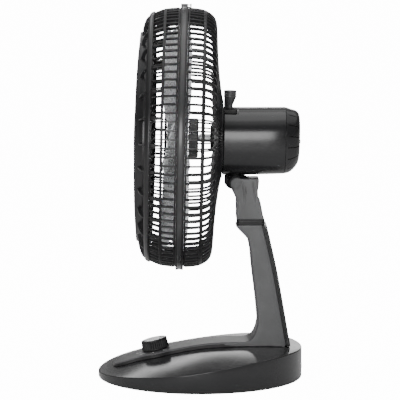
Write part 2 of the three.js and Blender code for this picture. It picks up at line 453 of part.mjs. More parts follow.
// ---------------------------------------------------------------- motor
{
  const bell = (y0, y1, y2, dirn) => cut(
    join(turned("y", dirn > 0
      ? [[0, y0], [30, y0], [44, y1], [44, y2], [41.5, y2], [41.5, y1 + 1], [29, y0 + 2.5], [0, y0 + 2.5]]
      : [[0, y0], [30, y0], [44, y1], [44, y2], [41.5, y2], [41.5, y1 - 1], [29, y0 - 2.5], [0, y0 - 2.5]], 24)),
    [45, 135, 225, 315].map((d) => solid(new THREE.BoxGeometry(60, 22, 16).translate(40, (y0 + y1) / 2, 0).rotateY(d * DEG)).intersect(turned("y", [[16, Math.min(y0, y1) - 30], [39, Math.min(y0, y1) - 30], [39, Math.max(y0, y1) + 30], [16, Math.max(y0, y1) + 30]], 24))),
  );
  piece(head, "motor_front_bracket", cut(bell(104, 112, 122, 1), bar("y", 90, 130, 5.2, 5.2, [0, 0], 20)), MAT.cast);
  piece(head, "motor_rear_bracket", cut(bell(168, 160, 147.4, -1), bar("y", 162, 172, 9.4, 9.4, [0, 0], 24), bar("y", 140, 175, 5.2, 5.2, [0, 0], 20)), MAT.cast);
  const poles = [];
  for (let i = 0; i < 8; i++) poles.push(solid(new THREE.BoxGeometry(13, 40, 7).translate(30.5, 134.7, 0).rotateY((i + 0.5) * 45 * DEG)));
  piece(head, "stator_core", cut(bar("y", 122.3, 147.1, 44, 44, [0, 0], 32), bar("y", 100, 160, 23, 23, [0, 0], 24), poles), MAT.iron);
  piece(head, "winding_front", turned("y", [[25, 111.5], [36.5, 111.5], [39.5, 116], [39.5, 122], [24.5, 122]], 16), MAT.copper);
  piece(head, "winding_rear", turned("y", [[25, 158.6], [39, 158.6], [39.5, 147.4], [24.5, 147.4]], 16), MAT.copper);
  piece(head, "front_bush", turned("y", [[4.3, 48.2], [9.1, 48.2], [9.1, 61], [4.3, 61]], 16), MAT.bronze);
  piece(head, "rear_bush", turned("y", [[4.3, 162.3], [9.1, 162.3], [9.1, 170.6], [4.3, 170.6]], 16), MAT.bronze);
  piece(head, "run_capacitor", solid(new THREE.BoxGeometry(9.4, 30, 18).translate(51.2, 134, 0).rotateY(135 * DEG)), MAT.cream);
}

// ---------------------------------------------------------------- rotating set: shaft, rotor, blades
{
  const shaft = join(
    bar("y", -22, 67.5, 4, 4, [0, 0], 20), bar("y", 67.4, 70, 2.7, 2.7, [0, 0], 16), bar("y", 69.9, 84, 2.6, 2.6, [0, 0], 16), bar("y", 83.9, 86, 2.7, 2.7, [0, 0], 16), bar("y", 85.9, 176, 4, 4, [0, 0], 20),
  );
  const helix = [];
  for (let i = 0; i <= 5 * WORM_TURNS; i++) {
    const a = (i / 5) * 2 * Math.PI;
    helix.push(new THREE.Vector3(2.75 * Math.cos(a), 77 + (i / 5 - WORM_TURNS / 2) * WORM_PITCH, 2.75 * Math.sin(a)));
  }
  const thread = new THREE.ExtrudeGeometry(shapeOf([[-0.6, -0.45], [0.6, -0.45], [0.6, 0.45], [-0.6, 0.45]]), { steps: 5 * WORM_TURNS, bevelEnabled: false, extrudePath: new THREE.CatmullRomCurve3(helix) });
  piece(head, "motor_shaft", join(shaft, solid(thread)), MAT.steel);
  piece(head, "rotor_core", turned("y", [[4.4, 120.5], [22.4, 120.5], [22.4, 149], [4.4, 149]], 20), MAT.iron);
  // six twisted blades on one hub
  const blades = [];
  for (let i = 0; i < BLADES; i++) {
    const g = new THREE.BoxGeometry(1, 1, 1, 5, 3, 1);
    const p = g.attributes.position;
    for (let j = 0; j < p.count; j++) {
      const u = p.getX(j) + 0.5, v = p.getY(j), w = p.getZ(j);
      const r = HUB_R - 2.5 + (BLADE_R - HUB_R + 2.5) * u - 9 * Math.max(0, u - 0.72) * Math.abs(v * 2) ** 3;
      const pitch = (34 - 17 * u) * DEG;
      const chord = 40 + 80 * Math.sin(Math.min(u * 1.15, 1) * Math.PI * 0.5);
      const camber = 0.06 * chord * (1 - 4 * v * v);
      const s = v * chord;
      const along = s * Math.cos(pitch) + camber * Math.sin(pitch);
      const axial = s * Math.sin(pitch) - camber * Math.cos(pitch) - 9;
      const a = along / Math.max(r, 30) + i * ((2 * Math.PI) / BLADES) + 0.10 * u;
      const t = w * 2.2;
      p.setXYZ(j, r * Math.cos(a), axial + t, r * Math.sin(a));
    }
    blades.push(solid(g));
  }
  const hub = turned("y", [[0, -10.2], [17, -10.2], [17, -24.6], [24, -24.6], [HUB_R, -15], [HUB_R, 9.8], [29.2, 9.8], [29.2, -12], [20.6, -20], [20.6, -7.4], [9.5, -7.4], [9.5, 8], [0, 8]], 24);
  piece(head, "fan_blades", cut(join(hub, blades), bar("y", -40, 40, 4.3, 4.3, [0, 0], 20)), MAT.blade);
  // dark cup that closes the back of the hub
  piece(head, "hub_back_plate", turned("y", [[4.3, 24.2], [HUB_R - 2.6, 24.2], [HUB_R - 2.6, 10.6], [HUB_R, 10.6], [HUB_R, 24.4], [HUB_R - 2, 26.8], [4.3, 26.8]], 18), MAT.dark);
  piece(head, "blade_nut", cut(turned("y", [[0, -25.2], [9, -24.6], [13.4, -21], [14.2, -10.6], [0, -10.6]], 16), bar("y", -22.6, 0, 4.35, 4.35, [0, 0], 16)), MAT.shell);
}

// ---------------------------------------------------------------- guards
{
  const lies = (pts, sign) => pts.map(([a, r]) => [r, sign * a]);
  function guard(outline, sign, rings, hub) {
    // a rib is the outline and the same line set in by the rib's depth
    const inner = outline.map(([a, r], i) => {
      const p = outline[Math.max(i - 1, 0)], n = outline[Math.min(i + 1, outline.length - 1)];
      const dx = n[0] - p[0], dr = n[1] - p[1], l = Math.hypot(dx, dr);
      return i === 0 ? [a, r - RIB_D] : [a + (dr / l) * RIB_D, r - (dx / l) * RIB_D];
    });
    const poly = lies([...outline, ...inner.reverse()], sign);
    const ribs = [];
    for (let i = 0; i < GUARD_RIBS; i++) {
      const g = new THREE.ExtrudeGeometry(shapeOf(poly), { ...flat, depth: RIB_W }).translate(0, 0, -RIB_W / 2).rotateY(((i + 0.5) / GUARD_RIBS) * 2 * Math.PI);
      ribs.push(solid(g));
    }
    const hoops = rings.map((line) => turned("y", lies(line, sign), GUARD_RIBS).rotate([0, 180 / GUARD_RIBS, 0]));
    return join(hoops[0], ribs, hoops.slice(1), hub);
  }
  const rear = guard(REAR_OUT, 1, [[[6.8, 205.4], [6.8, 211.6], [10.5, 211.4], [10.5, 205.4]]],
    cut(turned("y", [[27, 62.2], [REAR_HUB_R, 61.0], [REAR_HUB_R, 66.0], [27, 66.5]], 24)));
  piece(head, "rear_guard", rear, MAT.guard);
  // tie ring beside the band, rim ring of the bezel and its deep inner hoop
  const front = guard(FRONT_OUT, -1, [
    [[6.8, 205.4], [6.8, 211.6], [10.5, 211.4], [10.5, 205.4]],
    [[48.2, 200.2], [48.2, 205.2], [57, 201.0], [57, 196.5]],
    [[48, 170.6], [48, 174.6], [70.9, 174], [70.9, 169]],
  ],
    turned("y", [[0, -71.2], [62, -70.2], [62, -75.6], [BADGE_R + 0.5, -76.6], [BADGE_R + 0.5, -74], [0, -74]], 24));
  piece(head, "front_guard", front, MAT.guard);
  piece(head, "front_badge", turned("y", [[0, -74.3], [BADGE_R, -74.3], [BADGE_R, -77.2], [BADGE_R - 3, -78.2], [0, -78.2]], 24), MAT.shell);
  piece(head, "guard_ring", turned("y", [[207, -6.3], [BAND_R, -6.3], [BAND_R, 6.3], [207, 6.3]], 48), MAT.band);
  const clip = (up) => join(
    box(-12, 12, -6.2, 6.2, up > 0 ? BAND_R + 0.5 : -BAND_R - 2.6, up > 0 ? BAND_R + 3.0 : -BAND_R - 0.5),
    box(-12, 12, -9.2, -7.2 + 0.6, up > 0 ? 213.2 : -BAND_R - 2.6, up > 0 ? BAND_R + 3.0 : -213.2),
    box(-12, 12, 7.2 - 0.6, 9.2, up > 0 ? 213.2 : -BAND_R - 2.6, up > 0 ? BAND_R + 3.0 : -213.2),
    box(-12, 12, -9.2, 9.2, up > 0 ? BAND_R + 1.2 : -BAND_R - 2.6, up > 0 ? BAND_R + 3.0 : -BAND_R - 1.2),
  );
  piece(head, "guard_clip_top", clip(1), MAT.guard);
  piece(head, "guard_clip_bottom", clip(-1), MAT.guard);
  piece(head, "guard_nut", turned("y", [[NOSE_R + 0.4, 51], [34, 51], [36, 53], [36, 61.4], [NOSE_R + 0.4, 61.4]], 24), MAT.guard);
}

export default fan;
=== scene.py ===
import bpy
import bmesh
import math
import numpy as np
from mathutils import Vector, Matrix

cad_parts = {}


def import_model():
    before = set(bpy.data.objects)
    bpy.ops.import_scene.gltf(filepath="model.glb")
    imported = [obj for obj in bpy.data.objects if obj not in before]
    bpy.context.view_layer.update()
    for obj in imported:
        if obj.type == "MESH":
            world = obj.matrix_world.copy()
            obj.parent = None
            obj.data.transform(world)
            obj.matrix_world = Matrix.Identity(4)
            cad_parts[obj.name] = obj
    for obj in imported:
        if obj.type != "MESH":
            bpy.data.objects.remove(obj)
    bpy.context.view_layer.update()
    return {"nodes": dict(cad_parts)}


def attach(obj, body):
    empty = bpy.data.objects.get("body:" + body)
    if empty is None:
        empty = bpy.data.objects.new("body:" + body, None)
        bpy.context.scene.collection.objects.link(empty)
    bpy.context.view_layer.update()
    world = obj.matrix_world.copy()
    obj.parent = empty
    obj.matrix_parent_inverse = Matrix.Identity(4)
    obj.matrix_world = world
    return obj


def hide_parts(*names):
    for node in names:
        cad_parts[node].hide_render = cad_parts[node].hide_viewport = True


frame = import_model()

DEG = math.pi / 180
TAU = 2 * math.pi

# ------------------------------------------------------------------ frames of the three groups, in mm
TILT = 1.3 * DEG
CT, ST = math.cos(TILT), math.sin(TILT)


def world(p):
    return (p[0] / 1000, p[1] / 1000, p[2] / 1000)


def tilted(p):
    """origin on the tilt bolt, z along the swivel shaft"""
    return (p[0] / 1000, (58 + p[1] * CT + p[2] * ST) / 1000, (321.3 - p[1] * ST + p[2] * CT) / 1000)


def head(p):
    """origin at the centre of the guard band, y back along the motor axis"""
    return tilted((p[0], p[1] - 89, p[2] + 71.7))


K12 = 12 * DEG
CK, SK = math.cos(K12), math.sin(K12)


def dial(p):
    """origin on the strip under the speed knob, z along the knob's axis"""
    return (p[0] / 1000, (-73 + p[1] * CK - p[2] * SK) / 1000, (44.46 + p[1] * SK + p[2] * CK) / 1000)


# ------------------------------------------------------------------ curves
def hermite(table):
    xs = np.array([p[0] for p in table], float)
    ys = np.array([p[1] for p in table], float)
    h = np.diff(xs)
    d = np.diff(ys) / h
    m = np.zeros(len(xs))
    m[0], m[-1] = d[0], d[-1]
    for i in range(1, len(xs) - 1):
        if d[i - 1] * d[i] > 0:
            w1, w2 = 2 * h[i] + h[i - 1], h[i] + 2 * h[i - 1]
            m[i] = (w1 + w2) / (w1 / d[i - 1] + w2 / d[i])

    def f(x):
        x = np.clip(np.asarray(x, float), xs[0], xs[-1])
        i = np.clip(np.searchsorted(xs, x) - 1, 0, len(h) - 1)
        t = (x - xs[i]) / h[i]
        return ((2 * t**3 - 3 * t**2 + 1) * ys[i] + (t**3 - 2 * t**2 + t) * h[i] * m[i]
                + (-2 * t**3 + 3 * t**2) * ys[i + 1] + (t**3 - t**2) * h[i] * m[i + 1])
    return f


def fair(table, sigma, n=400):
    """a smooth curve near a table of measured points"""
    f = hermite(table)
    x0, x1 = table[0][0], table[-1][0]
    pad = 3 * sigma
    xs = np.linspace(x0 - pad, x1 + pad, n)
    ys = f(xs)
    s0 = (f(x0 + sigma) - f(x0)) / sigma
    s1 = (f(x1) - f(x1 - sigma)) / sigma
    ys = np.where(xs < x0, f(x0) + (xs - x0) * s0, ys)
    ys = np.where(xs > x1, f(x1) + (xs - x1) * s1, ys)
    step = xs[1] - xs[0]
    k = int(3 * sigma / step) + 1
    w = np.exp(-0.5 * (np.arange(-k, k + 1) * step / sigma) ** 2)
    w /= w.sum()
    ext = np.concatenate([ys[0] + (np.arange(-k, 0)) * (ys[1] - ys[0]), ys, ys[-1] + (np.arange(1, k + 1)) * (ys[-1] - ys[-2])])
    sm = np.convolve(ext, w, "valid")
    return lambda x: np.interp(x, xs, sm)


def spline(pts, per=8):
    """points on a Catmull-Rom curve through pts"""
    p = [np.array(q, float) for q in pts]
    p = [2 * p[0] - p[1]] + p + [2 * p[-1] - p[-2]]
    out = []
    for i in range(1, len(p) - 2):
        for k in range(per):
            t = k / per
            out.append(0.5 * (2 * p[i] + (p[i + 1] - p[i - 1]) * t + (2 * p[i - 1] - 5 * p[i] + 4 * p[i + 1] - p[i + 2]) * t * t
                              + (3 * p[i] - p[i - 1] - 3 * p[i + 1] + p[i + 2]) * t**3))
    out.append(p[-2])
    return out


def resample(pts, n):
    p = np.array(pts, float)
    s = np.concatenate([[0], np.cumsum(np.linalg.norm(np.diff(p, axis=0), axis=1))])
    q = np.linspace(0, s[-1], n)
    return np.stack([np.interp(q, s, p[:, k]) for k in range(p.shape[1])], 1)


def fillet(pts, r=0.8, n=4, closed=True):
    """a polyline with its corners rounded; a third number in a point is its own radius"""
    out = []
    m = len(pts)
    for i, p in enumerate(pts):
        rr = p[2] if len(p) > 2 else r
        P = np.array(p[:2], float)
        if (not closed and i in (0, m - 1)) or rr <= 0:
            out.append((P[0], P[1]))
            continue
        A = np.array(pts[i - 1][:2], float)
        B = np.array(pts[(i + 1) % m][:2], float)
        u, v = A - P, B - P
        lu, lv = np.linalg.norm(u), np.linalg.norm(v)
        u, v = u / lu, v / lv
        ang = math.acos(max(-1, min(1, float(u @ v))))
        if ang > 172 * DEG:
            out.append((P[0], P[1]))
            continue
        d = min(rr / math.tan(ang / 2), 0.46 * lu, 0.46 * lv)
        rad = d * math.tan(ang / 2)
        w = (u + v) / np.linalg.norm(u + v)
        c = P + w * rad / math.sin(ang / 2)
        q0, q1 = P + u * d - c, P + v * d - c
        a0, a1 = math.atan2(q0[1], q0[0]), math.atan2(q1[1], q1[0])
        da = (a1 - a0 + math.pi) % TAU - math.pi
        for k in range(n + 1):
            a = a0 + da * k / n
            out.append((c[0] + rad * math.cos(a), c[1] + rad * math.sin(a)))
    return out


# ------------------------------------------------------------------ meshes
def skin(rings, close_u=True, caps=True, close_v=False):
    n = len(rings[0])
    verts = [tuple(p) for r in rings for p in r]
    faces = []
    m = len(rings)
    for i in range(m if close_v else m - 1):
        a, b = i * n, ((i + 1) % m) * n
        for j in range(n if close_u else n - 1):
            k = (j + 1) % n
            faces.append((a + j, a + k, b + k, b + j))
    if caps and not close_v:
        faces.append(tuple(range(n - 1, -1, -1)))
        faces.append(tuple((m - 1) * n + j for j in range(n)))
    return verts, faces


def turn(profile, seg=96, axis="y", closed=True, at=(0, 0, 0), squeeze=None):
    """turned body: closed profile of (radius, station)"""
    rings = []
    for r, h in profile:
        ring = []
        for j in range(seg):
            a = TAU * j / seg
            rr = r if squeeze is None else r * squeeze(a, r, h)
            c, s = rr * math.cos(a), rr * math.sin(a)
            if axis == "y":
                ring.append((at[0] + c, at[1] + h, at[2] + s))
            elif axis == "z":
                ring.append((at[0] + c, at[1] + s, at[2] + h))
            else:
                ring.append((at[0] + h, at[1] + c, at[2] + s))
        rings.append(ring)
    return skin(rings, close_v=closed)


def hoop(a0, a1, r0, r1, edge=0.8, seg=192, n=3, at=(0, 0, 0), axis="y"):
    return turn(fillet([(r0, a0), (r1, a0), (r1, a1), (r0, a1)], edge, n), seg, axis, at=at)


def slab(poly, h0, h1, edge, place, n=3):
    """prism with rounded edges; place maps (x, y, h) to 3-D"""
    P = np.array(poly, float)
    m = len(P)
    area = 0.5 * np.sum(P[:, 0] * np.roll(P[:, 1], -1) - np.roll(P[:, 0], -1) * P[:, 1])
    if area < 0:
        P = P[::-1]
    t0 = P - np.roll(P, 1, 0)
    t1 = np.roll(P, -1, 0) - P
    t0 /= np.maximum(np.linalg.norm(t0, axis=1, keepdims=True), 1e-9)
    t1 /= np.maximum(np.linalg.norm(t1, axis=1, keepdims=True), 1e-9)
    n0 = np.stack([-t0[:, 1], t0[:, 0]], 1)
    n1 = np.stack([-t1[:, 1], t1[:, 0]], 1)
    nn = n0 + n1
    nn /= np.maximum(np.linalg.norm(nn, axis=1, keepdims=True), 1e-9)
    k = 1 / np.maximum((nn * n1).sum(1), 0.5)
    inward = nn * k[:, None]
    if not edge:
        return skin([[place(x, y, h) for x, y in P] for h in (h0, h1)])
    # from the underside outwards, up the side, and in again at the top
    under = [[place(x, y, h0 + edge * (1 - math.cos(math.pi / 2 * i / n))) for x, y in P + inward * edge * (1 - math.sin(math.pi / 2 * i / n))] for i in range(0, n + 1)]
    upper = [[place(x, y, h1 - edge * (1 - math.cos(math.pi / 2 * i / n))) for x, y in P + inward * edge * (1 - math.sin(math.pi / 2 * i / n))] for i in range(n, -1, -1)]
    return skin(under + upper)


def bar3(p0, p1, r, seg=24, edge=0.4):
    """round bar from p0 to p1 with broken edges"""
    p0, p1 = Vector(p0), Vector(p1)
    d = (p1 - p0)
    L = d.length
    q = d.to_track_quat("Z", "Y").to_matrix()
    rings = []
    for h, rr in [(0, r - edge), (edge, r), (L - edge, r), (L, r - edge)]:
        rings.append([tuple(p0 + q @ Vector((rr * math.cos(TAU * j / seg), rr * math.sin(TAU * j / seg), h))) for j in range(seg)])
    return skin(rings)


def cuboid(x0, x1, y0, y1, z0, z1, edge=0.0):
    P = fillet([(x0, y0), (x1, y0), (x1, y1), (x0, y1)], edge, 3) if edge else [(x0, y0), (x1, y0), (x1, y1), (x0, y1)]
    if edge:
        return slab(P, z0, z1, edge * 0.8, lambda x, y, h: (x, y, h))
    return skin([[(x, y, z0) for x, y in P], [(x, y, z1) for x, y in P]])


def sweep(path, normals, section, twist=None):
    """section of (across, out) swept along a path; out follows the normals"""
    P = np.array(path, float)
    N = np.array(normals, float)
    T = np.gradient(P, axis=0)
    T /= np.linalg.norm(T, axis=1, keepdims=True)
    N = N - (N * T).sum(1, keepdims=True) * T
    N /= np.linalg.norm(N, axis=1, keepdims=True)
    B = np.cross(T, N)
    rings = []
    for i in range(len(P)):
        sec = section(i) if callable(section) else section
        rings.append([P[i] + B[i] * a + N[i] * b for a, b in sec])
    return skin(rings)


def together(parts):
    verts, faces = [], []
    for v, f in parts:
        k = len(verts)
        verts += [tuple(p) for p in v]
        faces += [tuple(i + k for i in q) for q in f]
    return verts, faces


def raw_mesh(name, data, place):
    verts, faces = data
    me = bpy.data.meshes.new(name)
    me.from_pydata([place(p) for p in verts], [], faces)
    bm = bmesh.new()
    bm.from_mesh(me)
    bmesh.ops.remove_doubles(bm, verts=bm.verts, dist=1e-7)
    bmesh.ops.dissolve_degenerate(bm, edges=bm.edges, dist=1e-7)
    bmesh.ops.recalc_face_normals(bm, faces=bm.faces)
    bm.to_mesh(me)
    bm.free()
    me.validate()
    return me


def dress(obj, material, angle=32):
    obj.data.materials.clear()
    obj.data.materials.append(material)
    obj.data.shade_smooth()
    obj.data.set_sharp_from_angle(angle=angle * DEG)


def cutter(data, place):
    me = raw_mesh("cut", data, place)
    o = bpy.data.objects.new("cut", me)
    bpy.context.scene.collection.objects.link(o)
    return o


def carve(obj, cuts, place, op="DIFFERENCE"):
    """cuts closed bodies out of a piece, or joins them to it, for good"""
    tools = []
    for data in cuts:
        c = cutter(data, place)
        tools.append(c)
        m = obj.modifiers.new("b", "BOOLEAN")
        m.object = c
        m.operation = op
        m.solver = "EXACT"
    bpy.context.view_layer.update()
    dg = bpy.context.evaluated_depsgraph_get()
    me = bpy.data.meshes.new_from_object(obj.evaluated_get(dg))
    obj.modifiers.clear()
    obj.data = me
    for c in tools:
        bpy.data.objects.remove(c)
    return obj


def soften(obj, width, segments=2, angle=35):
    """rounds the hard edges of a piece, for good"""
    m = obj.modifiers.new("bevel", "BEVEL")
    m.width = width / 1000
    m.segments = segments
    m.limit_method = "ANGLE"
    m.angle_limit = angle * DEG
    m.use_clamp_overlap = True
    bpy.context.view_layer.update()
    dg = bpy.context.evaluated_depsgraph_get()
    me = bpy.data.meshes.new_from_object(obj.evaluated_get(dg))
    obj.modifiers.clear()
    obj.data = me
    return obj


def build(name, data, place):
    me = raw_mesh(name, data, place)
    o = bpy.data.objects.new(name, me)
    bpy.context.scene.collection.objects.link(o)
    return o


def finish_piece(o, material, body, nodes, angle=32):
    dress(o, material, angle)
    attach(o, body)
    if nodes:
        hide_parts(*nodes)
    return o


def piece(name, data, place, material, body, nodes=(), angle=32):
    return finish_piece(build(name, data, place), material, body, nodes, angle)


# ------------------------------------------------------------------ materials
def new_material(name):
    m = bpy.data.materials.new(name)
    m.use_nodes = True
    nt = m.node_tree
    nt.nodes.clear()
    out = nt.nodes.new("ShaderNodeOutputMaterial")
    b = nt.nodes.new("ShaderNodeBsdfPrincipled")
    nt.links.new(b.outputs[0], out.inputs[0])
    return m, nt, b


def noise(nt, coord, scale, detail=3, rough=0.55, stretch=None):
    n = nt.nodes.new("ShaderNodeTexNoise")
    n.inputs["Scale"].default_value = scale
    n.inputs["Detail"].default_value = detail
    n.inputs["Roughness"].default_value = rough
    if stretch:
        mp = nt.nodes.new("ShaderNodeMapping")
        mp.inputs["Scale"].default_value = stretch
        nt.links.new(coord, mp.inputs["Vector"])
        nt.links.new(mp.outputs[0], n.inputs["Vector"])
    else:
        nt.links.new(coord, n.inputs["Vector"])
    return n


def ramp(nt, value, a, b, lo, hi):
    r = nt.nodes.new("ShaderNodeMapRange")
    r.inputs["From Min"].default_value = a
    r.inputs["From Max"].default_value = b
    r.inputs["To Min"].default_value = lo
    r.inputs["To Max"].default_value = hi
    nt.links.new(value, r.inputs["Value"])
    return r.outputs[0]


def mix_colour(nt, fac, a, b):
    m = nt.nodes.new("ShaderNodeMix")
    m.data_type = "RGBA"
    nt.links.new(fac, m.inputs["Factor"])
    m.inputs["A"].default_value = (*a, 1)
    m.inputs["B"].default_value = (*b, 1)
    return m.outputs["Result"]


def plastic(name, base, rough, spread=0.05, grain=900.0, bump=0.04, coat=0.0, ior=1.5, wear=0.15, tint=0.18):
    """moulded plastic: fine spark-eroded grain, faint flow clouds, handling marks and paler edges"""
    m, nt, b = new_material(name)
    geo = nt.nodes.new("ShaderNodeTexCoord")
    co = geo.outputs["Object"]
    cloud = noise(nt, co, 14.0, 4)
    fine = noise(nt, co, grain, 2, 0.6)
    marks = noise(nt, co, 60.0, 5, 0.7)
    edge = nt.nodes.new("ShaderNodeNewGeometry").outputs["Pointiness"]
    worn = ramp(nt, edge, 0.52, 0.60, 0.0, wear)
    lo = tuple(c * (1 - tint) for c in base)
    hi = tuple(c * (1 + tint) for c in base)
    col = mix_colour(nt, ramp(nt, cloud.outputs["Fac"], 0.3, 0.7, 0, 1), lo, hi)
    pale = nt.nodes.new("ShaderNodeMix")
    pale.data_type = "RGBA"
    nt.links.new(worn, pale.inputs["Factor"])
    nt.links.new(col, pale.inputs["A"])
    pale.inputs["B"].default_value = (*[min(1, c * 2.2 + 0.03) for c in base], 1)
    nt.links.new(pale.outputs["Result"], b.inputs["Base Color"])
    add = nt.nodes.new("ShaderNodeMath")
    add.operation = "ADD"
    nt.links.new(ramp(nt, marks.outputs["Fac"], 0.3, 0.75, rough - spread, rough + spread), add.inputs[0])
    nt.links.new(ramp(nt, fine.outputs["Fac"], 0.2, 0.8, -0.02, 0.02), add.inputs[1])
    nt.links.new(add.outputs[0], b.inputs["Roughness"])
    b.inputs["IOR"].default_value = ior
    if coat:
        b.inputs["Coat Weight"].default_value = coat
        b.inputs["Coat Roughness"].default_value = 0.12
    bp = nt.nodes.new("ShaderNodeBump")
    bp.inputs["Strength"].default_value = bump
    bp.inputs["Distance"].default_value = 0.0004
    nt.links.new(fine.outputs["Fac"], bp.inputs["Height"])
    nt.links.new(bp.outputs[0], b.inputs["Normal"])
    return m


def metal(name, base, rough, spread=0.1, stretch=(8, 8, 400), bump=0.05, tint=0.12):
    """metal with fine drawn or turned scratches and light tarnish"""
    m, nt, b = new_material(name)
    co = nt.nodes.new("ShaderNodeTexCoord").outputs["Object"]
    lines = noise(nt, co, 30.0, 3, 0.6, stretch)
    cloud = noise(nt, co, 90.0, 4)
    col = mix_colour(nt, ramp(nt, cloud.outputs["Fac"], 0.3, 0.7, 0, 1), tuple(c * (1 - tint) for c in base), tuple(min(1, c * (1 + tint)) for c in base))
    nt.links.new(col, b.inputs["Base Color"])
    b.inputs["Metallic"].default_value = 1.0
    nt.links.new(ramp(nt, lines.outputs["Fac"], 0.3, 0.7, rough - spread, rough + spread), b.inputs["Roughness"])
    bp = nt.nodes.new("ShaderNodeBump")
    bp.inputs["Strength"].default_value = bump
    bp.inputs["Distance"].default_value = 0.0003
    nt.links.new(lines.outputs["Fac"], bp.inputs["Height"])
    nt.links.new(bp.outputs[0], b.inputs["Normal"])
    return m


def laminated(name, base):
    """stack of sheet-steel laminations, seen as fine lines across the motor axis"""
    m, nt, b = new_material(name)
    co = nt.nodes.new("ShaderNodeTexCoord").outputs["Object"]
    w = nt.nodes.new("ShaderNodeTexWave")
    w.bands_direction = "Y"
    w.inputs["Scale"].default_value = 320.0
    w.inputs["Distortion"].default_value = 0.4
    nt.links.new(co, w.inputs["Vector"])
    spots = noise(nt, co, 160.0, 4, 0.7)
    mul = nt.nodes.new("ShaderNodeMath")
    mul.operation = "MULTIPLY"
    nt.links.new(w.outputs["Fac"], mul.inputs[0])
    nt.links.new(spots.outputs["Fac"], mul.inputs[1])
    nt.links.new(mix_colour(nt, ramp(nt, mul.outputs[0], 0.0, 0.6, 0, 1), tuple(c * 0.5 for c in base), base), b.inputs["Base Color"])
    b.inputs["Metallic"].default_value = 1.0
    nt.links.new(ramp(nt, spots.outputs["Fac"], 0.3, 0.7, 0.4, 0.7), b.inputs["Roughness"])
    bp = nt.nodes.new("ShaderNodeBump")
    bp.inputs["Strength"].default_value = 0.4
    bp.inputs["Distance"].default_value = 0.0003
    nt.links.new(w.outputs["Fac"], bp.inputs["Height"])
    nt.links.new(bp.outputs[0], b.inputs["Normal"])
    return m


def wound(name, base):
    """lacquered wire wound round the motor axis"""
    m, nt, b = new_material(name)
    co = nt.nodes.new("ShaderNodeTexCoord").outputs["Object"]
    w = nt.nodes.new("ShaderNodeTexWave")
    w.bands_direction = "Y"
    w.inputs["Scale"].default_value = 260.0
    w.inputs["Distortion"].default_value = 3.0
    w.inputs["Detail"].default_value = 2.0
    nt.links.new(co, w.inputs["Vector"])
    nt.links.new(mix_colour(nt, w.outputs["Fac"], tuple(c * 0.35 for c in base), base), b.inputs["Base Color"])
    b.inputs["Metallic"].default_value = 0.9
    nt.links.new(ramp(nt, w.outputs["Fac"], 0, 1, 0.42, 0.24), b.inputs["Roughness"])
    b.inputs["Coat Weight"].default_value = 0.5
    bp = nt.nodes.new("ShaderNodeBump")
    bp.inputs["Strength"].default_value = 0.6
    bp.inputs["Distance"].default_value = 0.0006
    nt.links.new(w.outputs["Fac"], bp.inputs["Height"])
    nt.links.new(bp.outputs[0], b.inputs["Normal"])
    return m


def rubber(name, base):
    m, nt, b = new_material(name)
    co = nt.nodes.new("ShaderNodeTexCoord").outputs["Object"]
    fine = noise(nt, co, 700.0, 3, 0.7)
    dust = noise(nt, co, 40.0, 5, 0.7)
    nt.links.new(mix_colour(nt, ramp(nt, dust.outputs["Fac"], 0.45, 0.75, 0, 0.5), base, tuple(c + 0.06 for c in base)), b.inputs["Base Color"])
    nt.links.new(ramp(nt, fine.outputs["Fac"], 0.3, 0.7, 0.72, 0.92), b.inputs["Roughness"])
    bp = nt.nodes.new("ShaderNodeBump")
    bp.inputs["Strength"].default_value = 0.15
    bp.inputs["Distance"].default_value = 0.0004
    nt.links.new(fine.outputs["Fac"], bp.inputs["Height"])
    nt.links.new(bp.outputs[0], b.inputs["Normal"])
    return m


def smoke(name, base):
    """translucent smoke-grey blade plastic"""
    m, nt, b = new_material(name)
    co = nt.nodes.new("ShaderNodeTexCoord").outputs["Object"]
    cloud = noise(nt, co, 22.0, 4)
    fine = noise(nt, co, 500.0, 2)
    nt.links.new(mix_colour(nt, ramp(nt, cloud.outputs["Fac"], 0.3, 0.7, 0, 1), tuple(c * 0.88 for c in base), tuple(c * 1.1 for c in base)), b.inputs["Base Color"])
    nt.links.new(ramp(nt, fine.outputs["Fac"], 0.3, 0.7, 0.22, 0.34), b.inputs["Roughness"])
    b.inputs["IOR"].default_value = 1.49
    b.inputs["Transmission Weight"].default_value = 0.45
    bp = nt.nodes.new("ShaderNodeBump")
    bp.inputs["Strength"].default_value = 0.04
    bp.inputs["Distance"].default_value = 0.0004
    nt.links.new(cloud.outputs["Fac"], bp.inputs["Height"])
    nt.links.new(bp.outputs[0], b.inputs["Normal"])
    return m


M_SHELL = plastic("black_satin_plastic", (0.017, 0.017, 0.018), 0.20, 0.03, 1100, 0.02)
M_BASE = plastic("base_satin_plastic", (0.020, 0.020, 0.021), 0.17, 0.03, 1100, 0.02)
M_COLUMN = plastic("charcoal_satin_plastic", (0.088, 0.089, 0.091), 0.42, 0.05, 1000, 0.06)
M_NECK = plastic("charcoal_neck_plastic", (0.112, 0.113, 0.115), 0.45, 0.05, 900, 0.06)
M_GUARD = plastic("black_guard_plastic", (0.015, 0.015, 0.016), 0.33, 0.05, 900, 0.05)
M_BAND = plastic("grey_band_plastic", (0.046, 0.047, 0.048), 0.25, 0.04, 1000, 0.04)
M_DARK = plastic("matt_black_plastic", (0.008, 0.008, 0.009), 0.52, 0.06, 800, 0.08)
M_CREAM = plastic("pale_insulating_plastic", (0.62, 0.62, 0.57), 0.5, 0.06, 500, 0.05, tint=0.06)
M_GEAR = plastic("natural_acetal", (0.74, 0.71, 0.62), 0.42, 0.06, 500, 0.04, tint=0.06)
M_RUBBER = rubber("black_rubber", (0.018, 0.018, 0.018))
M_BLADE = smoke("pale_smoke_blades", (0.86, 0.87, 0.88))
M_SNOUT = metal("pale_die_casting", (0.80, 0.81, 0.82), 0.48, 0.1, (70, 70, 70), 0.15)
